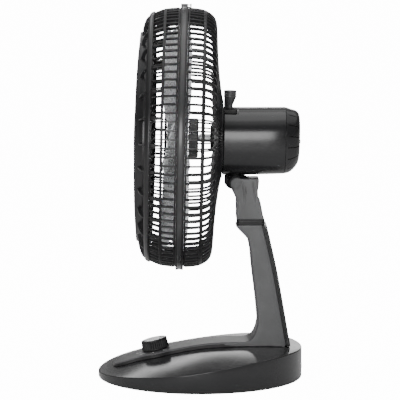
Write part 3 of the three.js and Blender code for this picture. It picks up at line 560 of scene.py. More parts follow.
M_STEEL = metal("ground_steel", (0.55, 0.56, 0.57), 0.28, 0.1, (500, 12, 500))
M_ZINC = metal("zinc_plated_steel", (0.62, 0.63, 0.62), 0.34, 0.1, (60, 60, 60))
M_CAST = metal("die_cast_aluminium", (0.52, 0.53, 0.54), 0.5, 0.12, (70, 70, 70), 0.2)
M_BRONZE = metal("sintered_bronze", (0.52, 0.36, 0.17), 0.45, 0.1, (90, 90, 90), 0.15)
M_IRON = metal("oiled_iron_plate", (0.16, 0.16, 0.17), 0.5, 0.12, (40, 40, 40), 0.15)
M_LAM = laminated("laminated_steel", (0.30, 0.30, 0.31))
M_WIRE = wound("lacquered_wire", (0.60, 0.26, 0.12))
M_MARK = plastic("white_print", (0.80, 0.80, 0.79), 0.5, 0.05, 600, 0.03, tint=0.04)
M_CAP = metal("bright_spun_disc", (0.86, 0.87, 0.88), 0.24, 0.08, (20, 20, 20), 0.05, 0.04)

# ------------------------------------------------------------------ measured shapes
BASE_R = 168.2
RIM_Z = [[-168.2, 11.4], [-146, 15.5], [-96, 22], [-21, 31.4], [0, 34.7], [41, 40.9], [87, 47.3], [116, 49.9], [139, 51.3], [168.2, 50]]
CROWN_Z = [[-168.2, 11.4], [-156, 13.6], [-144, 16.1], [-139, 18.0], [-116, 25.6], [-93, 32.2], [-46, 41.5], [-21, 46.5], [4, 50.4], [29, 52.5], [54, 53.5], [79, 53.9], [116, 54], [145, 53], [168.2, 50]]
STRIP_Z = [[-144, 20.4], [-139, 23.7], [-116, 32.6], [-93, 39.7], [-70, 44.6], [-46, 49], [-21, 54], [4, 57.9], [29, 60], [54, 61], [72, 61.2]]
COLUMN_FRONT = [[61.8, 79.6], [67.5, 86.4], [77.5, 91.4], [90, 93.6], [98.1, 93.9], [138, 89.6], [171.3, 85.4], [211.1, 81.4], [231, 77.4], [250.8, 58.9]]
COLUMN_REAR = [[253.6, 109.2], [239, 112.8], [225.8, 115.8], [205.9, 120.4], [186, 125], [159.3, 130], [126, 136], [92.5, 141.8], [54.6, 148.4]]
rim_z = fair(RIM_Z, 12)
crown_mid = fair(CROWN_Z, 7)
strip_z = fair(STRIP_Z, 5)
rear_y = fair([(z, y) for z, y in COLUMN_REAR[::-1]], 14)


def crown(x, y):
    half = math.sqrt(max(BASE_R * BASE_R - y * y, 1))
    u = min(abs(x) / half, 1)
    a, b = float(rim_z(y)), float(crown_mid(y))
    return a + (b - a) * (1 - u**2.2)


# ------------------------------------------------------------------ base
def base_piece():
    n = 192
    rings = []
    fr = [0.02, 0.08, 0.16, 0.25, 0.34, 0.43, 0.52, 0.6, 0.67, 0.74, 0.8, 0.85, 0.89, 0.92, 0.945, 0.962, 0.974, 0.983]
    wall = 2.6
    E = 1.6

    def ring(f):
        return [f(TAU * j / n) for j in range(n)]
    for k in fr:
        rings.append(ring(lambda a, k=k: (k * BASE_R * math.cos(a), k * BASE_R * math.sin(a), crown(k * BASE_R * math.cos(a), k * BASE_R * math.sin(a)))))
    # rounded rim
    for t in (0, 22, 45, 67, 90):
        q = t * DEG
        r = BASE_R - E * (1 - math.sin(q))
        rings.append(ring(lambda a, r=r, q=q: (r * math.cos(a), r * math.sin(a), crown((BASE_R - E) * math.cos(a), (BASE_R - E) * math.sin(a)) - E * (1 - math.cos(q)))))
    for f in (0.5,):
        rings.append(ring(lambda a: (BASE_R * math.cos(a), BASE_R * math.sin(a), 0.5 * (crown(BASE_R * 0.99 * math.cos(a), BASE_R * 0.99 * math.sin(a)) + 3))))
    for r, z in [(BASE_R, 3.2), (BASE_R - 0.35, 2.1), (BASE_R - 1.1, 1.3), (BASE_R - 1.5, 1.2), (BASE_R - wall, 1.2), (BASE_R - wall, 4)]:
        rings.append(ring(lambda a, r=r, z=z: (r * math.cos(a), r * math.sin(a), z)))
    for k in [0.982, 0.9, 0.7, 0.4, 0.02]:
        rings.append(ring(lambda a, k=k: (k * BASE_R * math.cos(a), k * BASE_R * math.sin(a), crown(k * BASE_R * math.cos(a), k * BASE_R * math.sin(a)) - wall)))
    return skin(rings)


base = build("base_cover", base_piece(), world)
carve(base, [
    turn([(5.3, 150), (5.3, 180)], 48, "y", closed=False, at=(0, 0, 17)),
    bar3(dial((0, 0, -30)), dial((0, 0, 6)), 0.009, 48, 0) if False else together([skin([[tuple(1000 * c for c in dial((9 * math.cos(TAU * j / 48), 9 * math.sin(TAU * j / 48), h))) for j in range(48)] for h in (-30, 6)])]),
], world)
finish_piece(base, M_BASE, "base", ["base_shell"], 28)

# rubber feet with a shallow ring on the sole
for k, (nm, x, y) in enumerate([("foot_front_left", -96, -96), ("foot_front_right", 96, -96), ("foot_rear_left", -100, 92), ("foot_rear_right", 100, 92)]):
    prof = fillet([(0.01, 0.5), (5.0, 0.5), (5.6, 0.0), (9.5, 0.0), (10.0, 0.8), (10.0, 2.6), (0.01, 2.6)], 0.25, 2)
    piece("rubber_" + nm, turn(prof, 48, "z", at=(x, y, 0)), world, M_RUBBER, "base", [nm])

# cord gland: a flanged collar with a rounded mouth
piece("cord_gland_collar", turn(fillet([(3.3, 162), (7.4, 162), (7.4, 164.2), (4.9, 164.6), (4.9, 168.6), (3.3, 168.6, 1.2)], 0.4, 3), 64, "y", at=(0, 0, 17)), world, M_RUBBER, "base", ["cord_gland"])


# ------------------------------------------------------------------ stand arm
def arm_half(y):
    """half width of the control strip against y"""
    if y < -118:
        t = (-118 - y) / 26.0
        return 32.2 * math.sqrt(max(1 - t * t, 0))
    w = 32.2 + 1.8 * min((y + 118) / 20, 1)
    d = y + 73
    if abs(d) < 39.5:
        pad = math.sqrt(39.5**2 - d * d)
        k = 5.0  # soft union of pad and strip
        h = max(k - abs(w - pad), 0) / k
        return max(w, pad) + h * h * k * 0.25
    return w


def arm_section(top, under, w, rt, rb, crown_h=0.0):
    top, under = np.array(top, float), np.array(under, float)
    e = top - under
    T = np.linalg.norm(e)
    e = e / T
    rt = min(rt, T * 0.42, w * 0.9)
    rb = min(rb, T * 0.3, w * 0.9)
    pts = []
    for k in range(4):
        pts.append((-(w - rb) + (w - rb) * 2 * k / 4, 0))
    for k in range(5):
        a = -math.pi / 2 + math.pi / 2 * k / 4
        pts.append((w - rb + rb * math.cos(a), rb + rb * math.sin(a)))
    for k in range(1, 4):
        pts.append((w, rb + (T - rt - rb) * k / 4))
    for k in range(7):
        a = math.pi / 2 * k / 6
        pts.append((w - rt + rt * math.cos(a), T - rt + rt * math.sin(a)))
    for k in range(1, 8):
        x = (w - rt) * (1 - 2 * k / 8)
        pts.append((x, T + crown_h * (1 - (x / (w - rt)) ** 2)))
    for k in range(7):
        a = math.pi / 2 + math.pi / 2 * k / 6
        pts.append((-(w - rt) + rt * math.cos(a), T - rt + rt * math.sin(a)))
    for k in range(1, 4):
        pts.append((-w, T - rt - (T - rt - rb) * k / 4))
    for k in range(4):
        a = math.pi + math.pi / 2 * k / 4
        pts.append((-(w - rb) + rb * math.cos(a), rb + rb * math.sin(a)))
    return [(x, under[0] + e[0] * s, under[1] + e[1] * s) for x, s in pts]


def arm_piece():
    rings = []
    ys = [-144 + 26 * (1 - math.cos(t * DEG)) for t in (4, 8, 13, 19, 26, 34, 43, 53, 64, 76, 90)]
    ys += list(np.linspace(-116, -30, 44)) + list(np.linspace(-27, 58, 24))
    for i, y in enumerate(ys):
        top = float(strip_z(y))
        low = float(crown_mid(y)) + 0.5
        edge = 2.4
        near = (y + 144) / 2.2
        if near < 1:  # rounded nose of the strip
            top -= 1.6 * (1 - math.sqrt(max(1 - (1 - near) ** 2, 0)))
        top = max(top, low + 2.4)
        rings.append(arm_section((y, top), (y, low), max(arm_half(y), 3), edge, 0.5))
    front = spline([(58, float(strip_z(58))), (66, 61.0), (73.5, 61.6), (80.2, 63.9), (86.0, 69.0), (90.2, 77.0), (92.6, 86.5), (93.5, 98), (89.6, 138), (85.4, 171.3), (82.9, 194), (81.0, 214), (77.6, 231)], 8)
    low58 = float(crown_mid(58)) + 0.5

    def rear(z):
        return (float(rear_y(z)) - 8.0, z)
    under = spline([(58, low58), (70, 54.3), (85, 54.3), (103, 54.4), (120, 54.4), (134, 54.3), (140.2, 54.5), rear(72), rear(104), rear(150), rear(180), rear(200), rear(218), rear(233)], 8)
    front = resample(front, 90)
    # pair the stations so that the sections fan round the fillet
    keys_f = [0, 0.10, 0.16, 0.22, 0.30, 0.42, 0.62, 0.86, 1.0]
    keys_u = [0, 0.16, 0.29, 0.40, 0.46, 0.56, 0.71, 0.88, 1.0]
    U = resample(under, 400)
    for i in range(1, len(front)):
        t = i / (len(front) - 1)
        u = float(np.interp(t, keys_f, keys_u))
        q = U[int(round(u * 399))]
        z = front[i][1]
        w = 34 - 4 * max(0, (z - 66)) / 188.6
        rings.append(arm_section(tuple(front[i]), tuple(q), w, 2.4 + 1.6 * min(1, t * 3), 0.5 + 0.7 * t, 0.5 * min(1, t * 4)))
    # shoulder up to the neck
    a, b = rings[-1], None
    for f, z1 in [((73.6, 235.6), 237), ((68.4, 241.0), 241.5), ((63.4, 246.1), 246), ((59.6, 250.3), 250), ((58.9, 252.0), 252), ((59.2, 253.2), 253.2), ((60.0, 253.6), 253.6)]:
        w = 34 - 4 * (f[1] - 66) / 188.6
        k = 0.6 if f[1] < 253 else 0.6
        if f[1] > 252.5:
            w -= 0.4 if f[1] < 253.5 else 1.0
        rings.append(arm_section(f, (rear(z1)[0] - (0.6 if f[1] > 253.5 else 0), z1), w, 3.6, 1.2, 0.5))
    return skin(rings)


arm = build("column_and_strip", arm_piece(), world)
carve(arm, [together([skin([[tuple(1000 * c for c in dial((6.2 * math.cos(TAU * j / 48), 6.2 * math.sin(TAU * j / 48), h))) for j in range(48)] for h in (-30, 20)])])], world)
finish_piece(arm, M_COLUMN, "base", ["stand_arm"], 34)


# matt black band let into the side of the strip, from its nose to the column: painted shade standing in for the shadow
# gap between the strip and the dome
def strip_side_painted_shade():
    verts_out, verts_in = [], []
    ys = [-144.15 + 26.15 * (1 - math.cos(t * DEG)) for t in (6, 13, 21, 30, 40, 51, 64, 76, 90)] + list(np.linspace(-115, 66, 110))
    side = [(arm_half(y) if y < 58 else 34.0, y) for y in ys]
    line = [(x, y) for x, y in side[::-1]] + [(-x, y) for x, y in side]
    n = len(line)
    P = np.array(line, float)
    T = np.gradient(P, axis=0)
    T /= np.linalg.norm(T, axis=1, keepdims=True)
    N = np.stack([-T[:, 1], T[:, 0]], 1)
    if N[0][0] < 0:
        N = -N
    rings = []
    for i in range(n):
        x, y = P[i]
        low = float(crown_mid(y)) + 0.35
        high = max(float(strip_z(min(y, 58))) - 2.0, low + 1.2) if y < 40 else low + max(0.8, 3.2 * (66 - y) / 26)
        a, b = P[i] + N[i] * 0.22, P[i] - N[i] * 0.9
        rings.append([(a[0], a[1], low), (a[0], a[1], high), (b[0], b[1], high), (b[0], b[1], low)])
    return skin(rings)


# painted shade: this black band along the strip's side stands in for the shadow under the strip's edge
piece("strip_side_painted_shade", strip_side_painted_shade(), world, M_DARK, "base", [], 40)


# rear cover of the column, and the dark lip that holds it
def rear_cover():
    rings = []
    zs = list(np.linspace(54.6, 253.6, 70))
    for i, z in enumerate(zs):
        y = float(rear_y(z))
        w = 34 - 4 * max(0, (z - 66)) / 188.6
        inset = 0.0
        if i == 0 or i == len(zs) - 1:
            inset = 0.5
        e = 1.1
        poly = fillet([(-w + inset, y - 4), (w - inset, y - 4), (w - inset, y - inset, 1.5), (-w + inset, y - inset, 1.5)], 0.4, 3)
        rings.append([(x, yy, z) for x, yy in poly])
    return skin(rings)


def rear_lip():
    rings = []
    for z in np.linspace(55.5, 252.6, 50):
        y = float(rear_y(z))
        rings.append([(x, yy, z) for x, yy in [(-25.8, y - 7.9), (25.8, y - 7.9), (25.8, y - 3.6), (-25.8, y - 3.6)]])
    return skin(rings)


cover = build("column_rear_cover", together([rear_cover()]), world)
for z, y in [[228, 115.3], [84, 143.3]]:
    carve(cover, [turn([(4.7, y - 1.7), (4.7, y + 6)], 40, "y", closed=False, at=(0, 0, z))], world)
finish_piece(cover, M_SHELL, "base", ["stand_rear_cover"], 30)
piece("column_rear_lip", rear_lip(), world, M_DARK, "base", [])


def cross_screw(name, at, axis, r, head_h, sign, material, body, nodes, place=world, cross=True):
    """pan-head screw with a cross recess; at is the centre of its seat"""
    prof = [(0.01, 0)] + [(r * math.sin(t * DEG), head_h * (math.cos(t * DEG))) for t in (20, 35, 50, 65, 80, 90)] + [(r, -0.25), (0.01, -0.25)]
    prof[0] = (0.01, head_h)
    data = turn([(q[0], sign * q[1]) for q in prof], 40, axis, at=at)
    o = build(name, data, place)
    if cross:
        k = r * 0.62
        w = r * 0.17
        cuts = []
        for a, b in ((k, w), (w, k)):
            if axis == "y":
                y0, y1 = sorted((at[1] + sign * head_h * 0.35, at[1] + sign * head_h * 2))
                cuts.append(cuboid(at[0] - a, at[0] + a, y0, y1, at[2] - b, at[2] + b))
            else:
                z0, z1 = sorted((at[2] + sign * head_h * 0.35, at[2] + sign * head_h * 2))
                cuts.append(cuboid(at[0] - a, at[0] + a, at[1] - b, at[1] + b, z0, z1))
        carve(o, cuts, place)
    return finish_piece(o, material, body, nodes)


cross_screw("column_screw_upper", (0, 115.3 - 1.3, 228), "y", 4.2, 1.5, 1, M_ZINC, "base", ["stand_screw_upper"])
cross_screw("column_screw_lower", (0, 143.3 - 1.3, 84), "y", 4.2, 1.5, 1, M_ZINC, "base", ["stand_screw_lower"])
for i, (x, y) in enumerate([[-118, -52], [118, -52], [-86, 112], [86, 112]]):
    cross_screw("underside_screw_%d" % (i + 1), (x, y, 2.5), "z", 4.2, 1.4, -1, M_ZINC, "base", ["base_screw_%d" % (i + 1)])


# ------------------------------------------------------------------ speed knob
def knob_body():
    H = 17.2
    n = 36 * 6
    rings = []

    def ring(r, z, depth):
        out = []
        for j in range(n):
            a = TAU * j / n
            ph = (j % 6) / 6.0
            g = depth * (0.5 - 0.5 * math.cos(TAU * ph)) ** 1.6
            out.append(((r - g) * math.cos(a), (r - g) * math.sin(a), z))
        return out
    for r, z, d in [(21.6, 0.5, 0.0), (22.5, 0.7, 0.0), (22.75, 1.4, 0.0), (22.7, 2.6, 0.0), (22.5, 3.3, 0.9), (22.1, 8, 1.0), (21.7, 12.5, 1.0), (21.5, 14.6, 0.9), (21.45, 15.2, 0.0), (21.4, 16.4, 0.0), (21.1, 17.0, 0.0), (20.4, 17.25, 0.0), (19.5, 17.25, 0.0), (19.2, 16.9, 0.0), (19.2, 16.2, 0.0), (3, 16.2, 0.0)]:
        rings.append(ring(r, z, d))
    return skin(rings)


piece("speed_knob_body", knob_body(), dial, M_DARK, "speed_dial", ["speed_knob"], 26)
capp = [(0.01, 16.5), (18.8, 16.5), (18.8, 17.4), (18.5, 17.75), (17.9, 17.9), (17.1, 17.75), (16.6, 17.55), (10, 17.62), (0.01, 17.66)]
piece("speed_knob_disc", turn(capp, 96, "z"), dial, M_CAP, "speed_dial", ["speed_knob_cap"], 30)
# pointer line of the dial, standing a little proud
piece("speed_knob_pointer", slab(fillet([(-0.8, -18.2), (0.8, -18.2), (0.8, -11.5), (-0.8, -11.5)], 0.6, 3), 17.5, 17.95, 0.1, lambda x, y, h: (x, y, h)), dial, M_DARK, "speed_dial", [])
ob = frame["nodes"]["switch_shaft"]

# dial marks: plain numbers and ticks raised on the strip round the knob
strip_at = lambda y: float(strip_z(y))


def onto_strip(x, y, h):
    return (x, y, strip_at(y) + h)


def numeral(ch, cx, cy, size, angle):
    cu = bpy.data.curves.new("n", "FONT")
    cu.body = ch
    cu.size = size
    cu.align_x = "CENTER"
    cu.align_y = "CENTER"
    cu.resolution_u = 4
    o = bpy.data.objects.new("n", cu)
    bpy.context.scene.collection.objects.link(o)
    bpy.context.view_layer.update()
    me = bpy.data.meshes.new_from_object(o.evaluated_get(bpy.context.evaluated_depsgraph_get()))
    bpy.data.objects.remove(o)
    bm = bmesh.new()
    bm.from_mesh(me)
    bmesh.ops.remove_doubles(bm, verts=bm.verts, dist=1e-4)
    ca, sa = math.cos(angle), math.sin(angle)
    for v in bm.verts:
        x, y = v.co.x, v.co.y
        X, Y = cx + x * ca - y * sa, cy + x * sa + y * ca
        p = onto_strip(X, Y, 0.02)
        v.co = Vector(world(p))
    geom = bmesh.ops.extrude_face_region(bm, geom=bm.faces[:])
    for v in [g for g in geom["geom"] if isinstance(g, bmesh.types.BMVert)]:
        v.co.z += 0.00022
    bmesh.ops.recalc_face_normals(bm, faces=bm.faces)
    bm.to_mesh(me)
    bm.free()
    return me


marks = []
dial_r = 30.6
for ch, deg in (("0", -90), ("1", -50), ("2", -10), ("3", 30)):
    a = deg * DEG
    marks.append((ch, dial_r * math.cos(a), -73 + dial_r * math.sin(a), a))
for i, (ch, cx, cy, a) in enumerate(marks):
    me = numeral(ch, cx, cy, 7.4, 0.0)
    o = bpy.data.objects.new("dial_number_" + ch, me)
    bpy.context.scene.collection.objects.link(o)
    dress(o, M_MARK, 30)
    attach(o, "base")
ticks = []
for deg in (-90, -50, -10, 30):
    a = deg * DEG
    c, s = math.cos(a), math.sin(a)
    r0, r1, hw = 24.2, 26.6, 0.45
    poly = [(c * r0 - s * hw, s * r0 + c * hw), (c * r1 - s * hw, s * r1 + c * hw), (c * r1 + s * hw, s * r1 - c * hw), (c * r0 + s * hw, s * r0 - c * hw)]
    ticks.append(skin([[onto_strip(x, y - 73, 0.02) for x, y in poly], [onto_strip(x, y - 73, 0.24) for x, y in poly]]))
piece("dial_ticks", together(ticks), world, M_MARK, "base", [])


# ------------------------------------------------------------------ neck
def rounded_rect(x0, x1, y0, y1, r, n=5):
    return fillet([(x0, y0), (x1, y0), (x1, y1), (x0, y1)], r, n)


rings = []
for z, e in [(253.9, 1.6), (254.7, 1.6), (255.0, 0.4), (257.3, 0.3), (257.6, 1.5), (258.9, 1.5), (259.2, 0.3), (261.3, 0.4), (261.6, 1.5), (262.8, 1.5)]:
    rings.append([(x, y, z) for x, y in rounded_rect(-28.8 + e, 28.8 - e, 59.6 + e, 106.2 - e, 4.0)])
piece("neck_collar_ring", skin(rings), world, M_DARK, "base", ["neck_collar"])

neck_prof = fillet([(59.0, 263, 1.6), (58.6, 296.5, 6), (55.4, 304.2, 6), (51.4, 312, 4), (51.4, 322, 6), (54.4, 331.4, 5), (62.6, 331.4, 4), (67.2, 329.6, 4), (96.6, 329.6, 1.8), (96.2, 322, 8), (94.4, 308.6, 8), (95.4, 296, 4), (98.8, 291.8, 5), (104.4, 263, 1.6)], 1.6, 6)
neck = build("neck_yoke", slab(neck_prof, -29, 29, 1.4, lambda y, z, h: (h, y, z)), world)
carve(neck, [
    slab(fillet([(40, 305.5), (72, 305.5, 4), (79.5, 312, 3), (79.5, 345), (40, 345)], 0.5, 5), -19.6, 19.6, 0.0, lambda y, z, h: (h, y, z), 1),
    turn([(8.2, 24.9), (8.2, 40)], 48, "x", closed=False, at=(0, 58, 321.3)),
    turn([(8.2, -40), (8.2, -24.9)], 48, "x", closed=False, at=(0, 58, 321.3)),
    turn([(4.4, -40), (4.4, 40)], 32, "x", closed=False, at=(0, 58, 321.3)),
], world)
# flutes down both cheeks of the neck: long tapering grooves
grooves = []
for side in (1, -1):
    for top, mid, low, wd in (((68.0, 325.5), (72.0, 305.0), (72.3, 288.5), 2.0), ((74.4, 318.5), (75.0, 305.5), (75.0, 298), 1.1), ((85.6, 325.5), (88.6, 305.0), (90.6, 286.5), 2.0)):
        pts = spline([top, mid, low], 8)
        path = np.array([(side * 29.0, p[0], p[1]) for p in pts])
        m = len(path)

        def sec(i, m=m, wd=wd):
            t = i / (m - 1)
            w = wd * (0.35 + 0.65 * math.sin(math.pi * min(0.25 + 0.75 * t, 1)))
            d = 1.3 * math.sin(math.pi * (0.12 + 0.86 * t)) ** 0.6
            return [(-w, 0.9), (w, 0.9), (0.35 * w, -d), (-0.35 * w, -d)]
        grooves.append(sweep(path, [(side, 0, 0)] * m, sec))
carve(neck, grooves, world)
for sd in (1, -1):
    carve(neck, [skin([[(sd * (29.6 + 3), 48 - 2, z), (sd * (29.6 + 3), 54.5, z), (sd * 29.05, 54.5, z), (sd * 25.4, 51.35, z), (sd * 25.4, 48 - 2, z)] for z in (300, 340)])], world)
finish_piece(neck, M_NECK, "base", ["neck_fork"], 30)

# tilt bolt head and nut in their seats
bolt = build("tilt_bolt_head", turn(fillet([(0.01, 24.95), (8.05, 24.95), (8.05, 28.9, 0.25), (0.01, 28.9)], 0.25, 3), 96, "x", at=(0, 58, 321.3)), world)
finish_piece(bolt, M_NECK, "base", ["tilt_bolt"])
piece("tilt_bolt_nut", slab([(7.6 * math.cos(TAU * j / 6), 7.6 * math.sin(TAU * j / 6)) for j in range(6)], -28.5, -25.0, 0.5, lambda x, y, h: (h, 58 + x, 321.3 + y)), world, M_ZINC, "base", ["tilt_nut"])

# ------------------------------------------------------------------ tilting knuckle
UNDER = 71.7 - 59.0


def turret():
    n = 24 * 8
    rings = []

    def ring(r, z, d):
        out = []
        for j in range(n):
            a = TAU * j / n
            ph = (j % 8) / 8.0
            g = d if 0.32 < ph < 0.93 else 0.0
            out.append(((r - g) * math.cos(a), (r - g) * math.sin(a), z))
        return out
    for r, z, d in [(5, 12.0, 0), (16.8, 12.0, 0), (17.6, 11.7, 0), (18.1, 11.0, 0), (18.3, 10.0, 0.2), (18.3, 9.2, 1.2), (18.3, 0.2, 1.2), (18.2, -0.8, 0.6), (17.9, -1.5, 0), (17.3, -2.6, 0), (16.0, -4.6, 0), (14.2, -6.8, 0), (12.0, -8.8, 0), (9.5, -10.3, 0), (7.5, -10.8, 0), (5, -10.8, 0)]:
        rings.append(ring(r, z, d))
    return skin(rings)


knuckle = together([
    turret(),
    turn(fillet([(4.4, -19.2), (10.4, -19.2), (10.4, 19.2), (4.4, 19.2)], 0.6, 3), 64, "x"),
    turn(fillet([(6.3, UNDER - 1.2), (12.2, UNDER - 1.2), (12.2, UNDER + 9.4), (6.3, UNDER + 9.4)], 0.5, 3), 64, "z"),
])
piece("tilt_turret", knuckle, tilted, M_DARK, "tilt_bracket", ["tilt_knuckle"], 28)

# ------------------------------------------------------------------ motor housing
POWER = 2.6
HOUSING = [[68.3, 51.8, -59.0, 55], [100, 52.3, -58.4, 56], [140, 53.3, -56.6, 56], [160, 53.8, -55.6, 55], [168, 53.9, -55.0, 54]]
h_top = fair([(s[0], s[1]) for s in HOUSING], 8)
h_bot = fair([(s[0], s[2]) for s in HOUSING], 8)
h_half = fair([(s[0], s[3]) for s in HOUSING], 9)


def super_ring(y, top, bottom, half, n=144, power=POWER):
    out = []
    zc, hh = (top + bottom) / 2, (top - bottom) / 2
    e = 2 / power
    for j in range(n):
        a = TAU * j / n
        c, s = math.cos(a), math.sin(a)
        out.append((half * math.copysign(abs(c) ** e, c), y, zc + hh * math.copysign(abs(s) ** e, s)))
    return out


def housing_shell():
    rings = []
    E = 1.4

    def ring(y, inset, yy=None):
        return super_ring(y if yy is None else yy, float(h_top(y)) - inset, float(h_bot(y)) + inset, float(h_half(y)) - inset)
    rings.append(ring(66.9, 30.0))
    rings.append(ring(66.9, 12.0))
    for t in (0, 22, 45, 67, 90):
        q = t * DEG
        rings.append(ring(66.9 + E * (1 - math.cos(q)), E * (1 - math.sin(q))))
    for y in np.linspace(69.5, 166.6, 36):
        rings.append(ring(y, 0))
    rings.append(ring(167.7, 0.1))
    rings.append(ring(168.0, 0.45))
    rings.append(ring(168.0, 2.5))
    for y in (160, 120, 90, 72):
        rings.append(ring(y, 2.6))
    rings.append(ring(70.9, 4.5))
    rings.append(ring(70.9, 30.0))
    return skin(rings, close_v=True)


house = build("housing_barrel", housing_shell(), head)
carve(house, [slab(fillet([(-34, -38), (34, -38), (34, 34), (-34, 34)], 6, 4), 66.95, 70.85, 0.0, lambda x, z, h: (x, h, z), 1)], head, "UNION")
SX, SY = 11.0, 76.8
carve(house, [turn([(22.5, 60), (22.5, 80)], 96, "y", closed=False)], head)
# shelf: the top front of the housing steps down on both sides of the swing knob
floor_plate = cuboid(-37.5, 37.5, 68.2, 90.6, 38.9, 41.6)
shelf_wall = cuboid(-37.5, 37.5, 88.4, 91.0, 39.0, 49.0)
carve(house, [floor_plate], head, "UNION")
carve(house, [shelf_wall], head, "UNION")
shelf = slab(fillet([(60, 41.6, 0.5), (88.4, 41.6, 2.5), (88.9, 70, 0.5), (60, 70, 0.5)], 0.5, 6), -70, 70, 0.0, lambda y, z, h: (h, y, z), 1)
carve(house, [shelf], head)
carve(house, [turn([(5.3, 30), (5.3, 60)], 48, "z", closed=False, at=(SX, SY, 0))], head)
carve(house, [turn([(12.9, -75), (12.9, -50)], 64, "z", closed=False, at=(0, 89, 0))], head)
carve(house, [cuboid(-7, 7, 159.6, 168.6, 51.2, 60)], head)
finish_piece(house, M_SHELL, "head", ["motor_housing"], 30)

# matt black block on the shelf that the swing knob's stem comes up through; its black is painted shade for the shadowed
# well beside the knob
block = build("swing_knob_shade_block", cuboid(-27, 27, 67.1, 88.2, 41.7, 58, 1.2), head)
carve(block, [skin([super_ring(y, float(h_top(68.3 if y < 68 else y)) - 0.2, float(h_bot(70)), float(h_half(70)) - 0.2) for y in (60, 69, 78, 88, 96)])], head, "INTERSECT")
# tall cheek beside the knob, clear of it at every height
carve(block, [slab([(67.3, 47), (79.5, 47), (78.6, 52.5), (76.0, 56.5), (73.4, 61.5), (70.6, 66.0), (69.4, 66.9), (67.3, 66.9)], -8, -1.2, 0.0, lambda y, z, h: (h, y, z), 1)], head, "UNION")
carve(block, [turn([(5.3, 30), (5.3, 62)], 48, "z", closed=False, at=(SX, SY, 0)), turn([(5.2, 46.8), (9.9, 55.0)], 48, "z", closed=False, at=(SX, SY, 0))], head)
soften(block, 0.7, 3)
# painted shade: the block's matt black colour stands in for the shadow in the well
finish_piece(block, M_DARK, "head", [], 30)

REAR_CAP = [[168.0, 53.7, -54.8, 53.7], [172, 52.7, -54.0, 52.7], [176, 51.3, -52.6, 51.2], [180, 50.4, -49.9, 49.4], [183, 49.6, -46.9, 47.8], [186, 48.4, -43.2, 46.0], [188.4, 46.6, -39.6, 43.6], [190.2, 43.6, -35.6, 40.0], [191.4, 38.6, -31.2, 35.0], [192.1, 31.5, -26.5, 28.6], [192.3, 22, -19, 20]]


def cap_shell():
    rings = []
    cap = REAR_CAP
    # lip that slips inside the barrel
    rings.append(super_ring(163.6, 50.0, -51.2, 50.2))
    rings.append(super_ring(164.0, 50.6, -51.8, 50.8))
    rings.append(super_ring(168.3, 50.6, -51.8, 50.8))
    rings.append(super_ring(168.3, 53.2, -54.3, 53.2))
    for y, t, b, w in cap:
        rings.append(super_ring(max(y, 168.6), t, b, w, 144, POWER))
    rings.append(super_ring(192.3, 10, -9, 9))
    rings.append(super_ring(189.9, 10, -9, 9))
    for y, t, b, w in cap[::-1]:
        rings.append(super_ring(max(y - 2.5, 168.6), min(t - 2.4, 49.4), max(b + 2.4, -50.6), min(w - 2.4, 49.4)))
    rings.append(super_ring(163.6, 49.2, -50.4, 49.2))
    return skin(rings, close_v=True)


rear_cap = build("rear_cover_cap", cap_shell(), head)
plug = turn([(0.01, 189.9), (11, 189.9), (11, 192.3), (0.01, 192.3)], 96, "y")
carve(rear_cap, [plug], head, "UNION")
slots = []
for i in range(18):
    a = (i + 0.5) * 20 * DEG
    c, s = math.cos(a), math.sin(a)
    P = fillet([(19, 200), (70, 200), (70, 172.5), (51, 171.8, 0.9), (43, 184.0, 2), (32, 187.5, 1), (19, 187.5, 1)], 0.6, 2)
    rings = []
    for h in (-0.7, 0.7):
        rings.append([(r * c - h * s, y, r * s + h * c) for r, y in P])
    slots.append(skin(rings))
carve(rear_cap, [together(slots)], head)
carve(rear_cap, [turn([(4.6, 191.2), (4.6, 200)], 40, "y", closed=False, at=(x, 0, 0)) for x in (-30, 30)], head)
finish_piece(rear_cap, M_SHELL, "head", ["motor_rear_cover"], 30)
for i, x in enumerate((-30, 30)):
    cross_screw("rear_cap_screw_" + ("right" if i else "left"), (x, 191.5, 0), "y", 3.8, 1.5, 1, M_ZINC, "head", ["cover_screw_right" if i else "cover_screw_left"], head)

# front nose over the motor shaft
nose = fillet([(5.2, 46.2, 0.4), (20.6, 46.2, 1.2), (22, 47.8, 1.0), (22, 72.4, 0.3), (20.2, 72.4, 0.3), (20.2, 62.0, 0.5), (9.6, 61.4, 0.4), (9.6, 48.1, 0.3), (5.2, 48.1, 0.3)], 0.5, 4)
piece("nose_sleeve", turn(nose, 128, "y"), head, M_DARK, "head", ["gearbox_front_cover"], 30)
snout = fillet([(5.2, 28.2, 0.3), (6.2, 28.2, 0.5), (6.7, 29.2, 0.5), (6.7, 44.6, 0.6), (7.4, 46.2, 0.2), (5.2, 46.2, 0.2)], 0.4, 3)
piece("shaft_snout", turn(snout, 64, "y"), head, M_SNOUT, "head", [], 30)

# swing knob: a mushroom button with a grooved, turned edge
knobp = fillet([(0.01, -14), (1.4, -14, 0.2), (1.4, 43.6, 0.3), (4.6, 43.6, 0.5), (4.7, 55.2, 1.5), (9.4, 67.6, 1.0), (10.3, 68.6, 0.6), (10.3, 71.2, 0.25), (9.9, 71.5, 0.1), (9.9, 72.1, 0.1), (10.3, 72.4, 0.25), (10.3, 75.6, 0.25), (9.9, 75.9, 0.1), (9.9, 76.5, 0.1), (10.3, 76.8, 0.25), (10.3, 79.0, 0.9), (9.2, 79.9, 0.6), (7.8, 79.7, 0.4), (0.01, 79.4)], 0.3, 3)
piece("swing_knob", turn(knobp, 96, "z", at=(SX, SY, 0)), head, M_COLUMN, "oscillation_button", ["oscillation_knob"], 28)

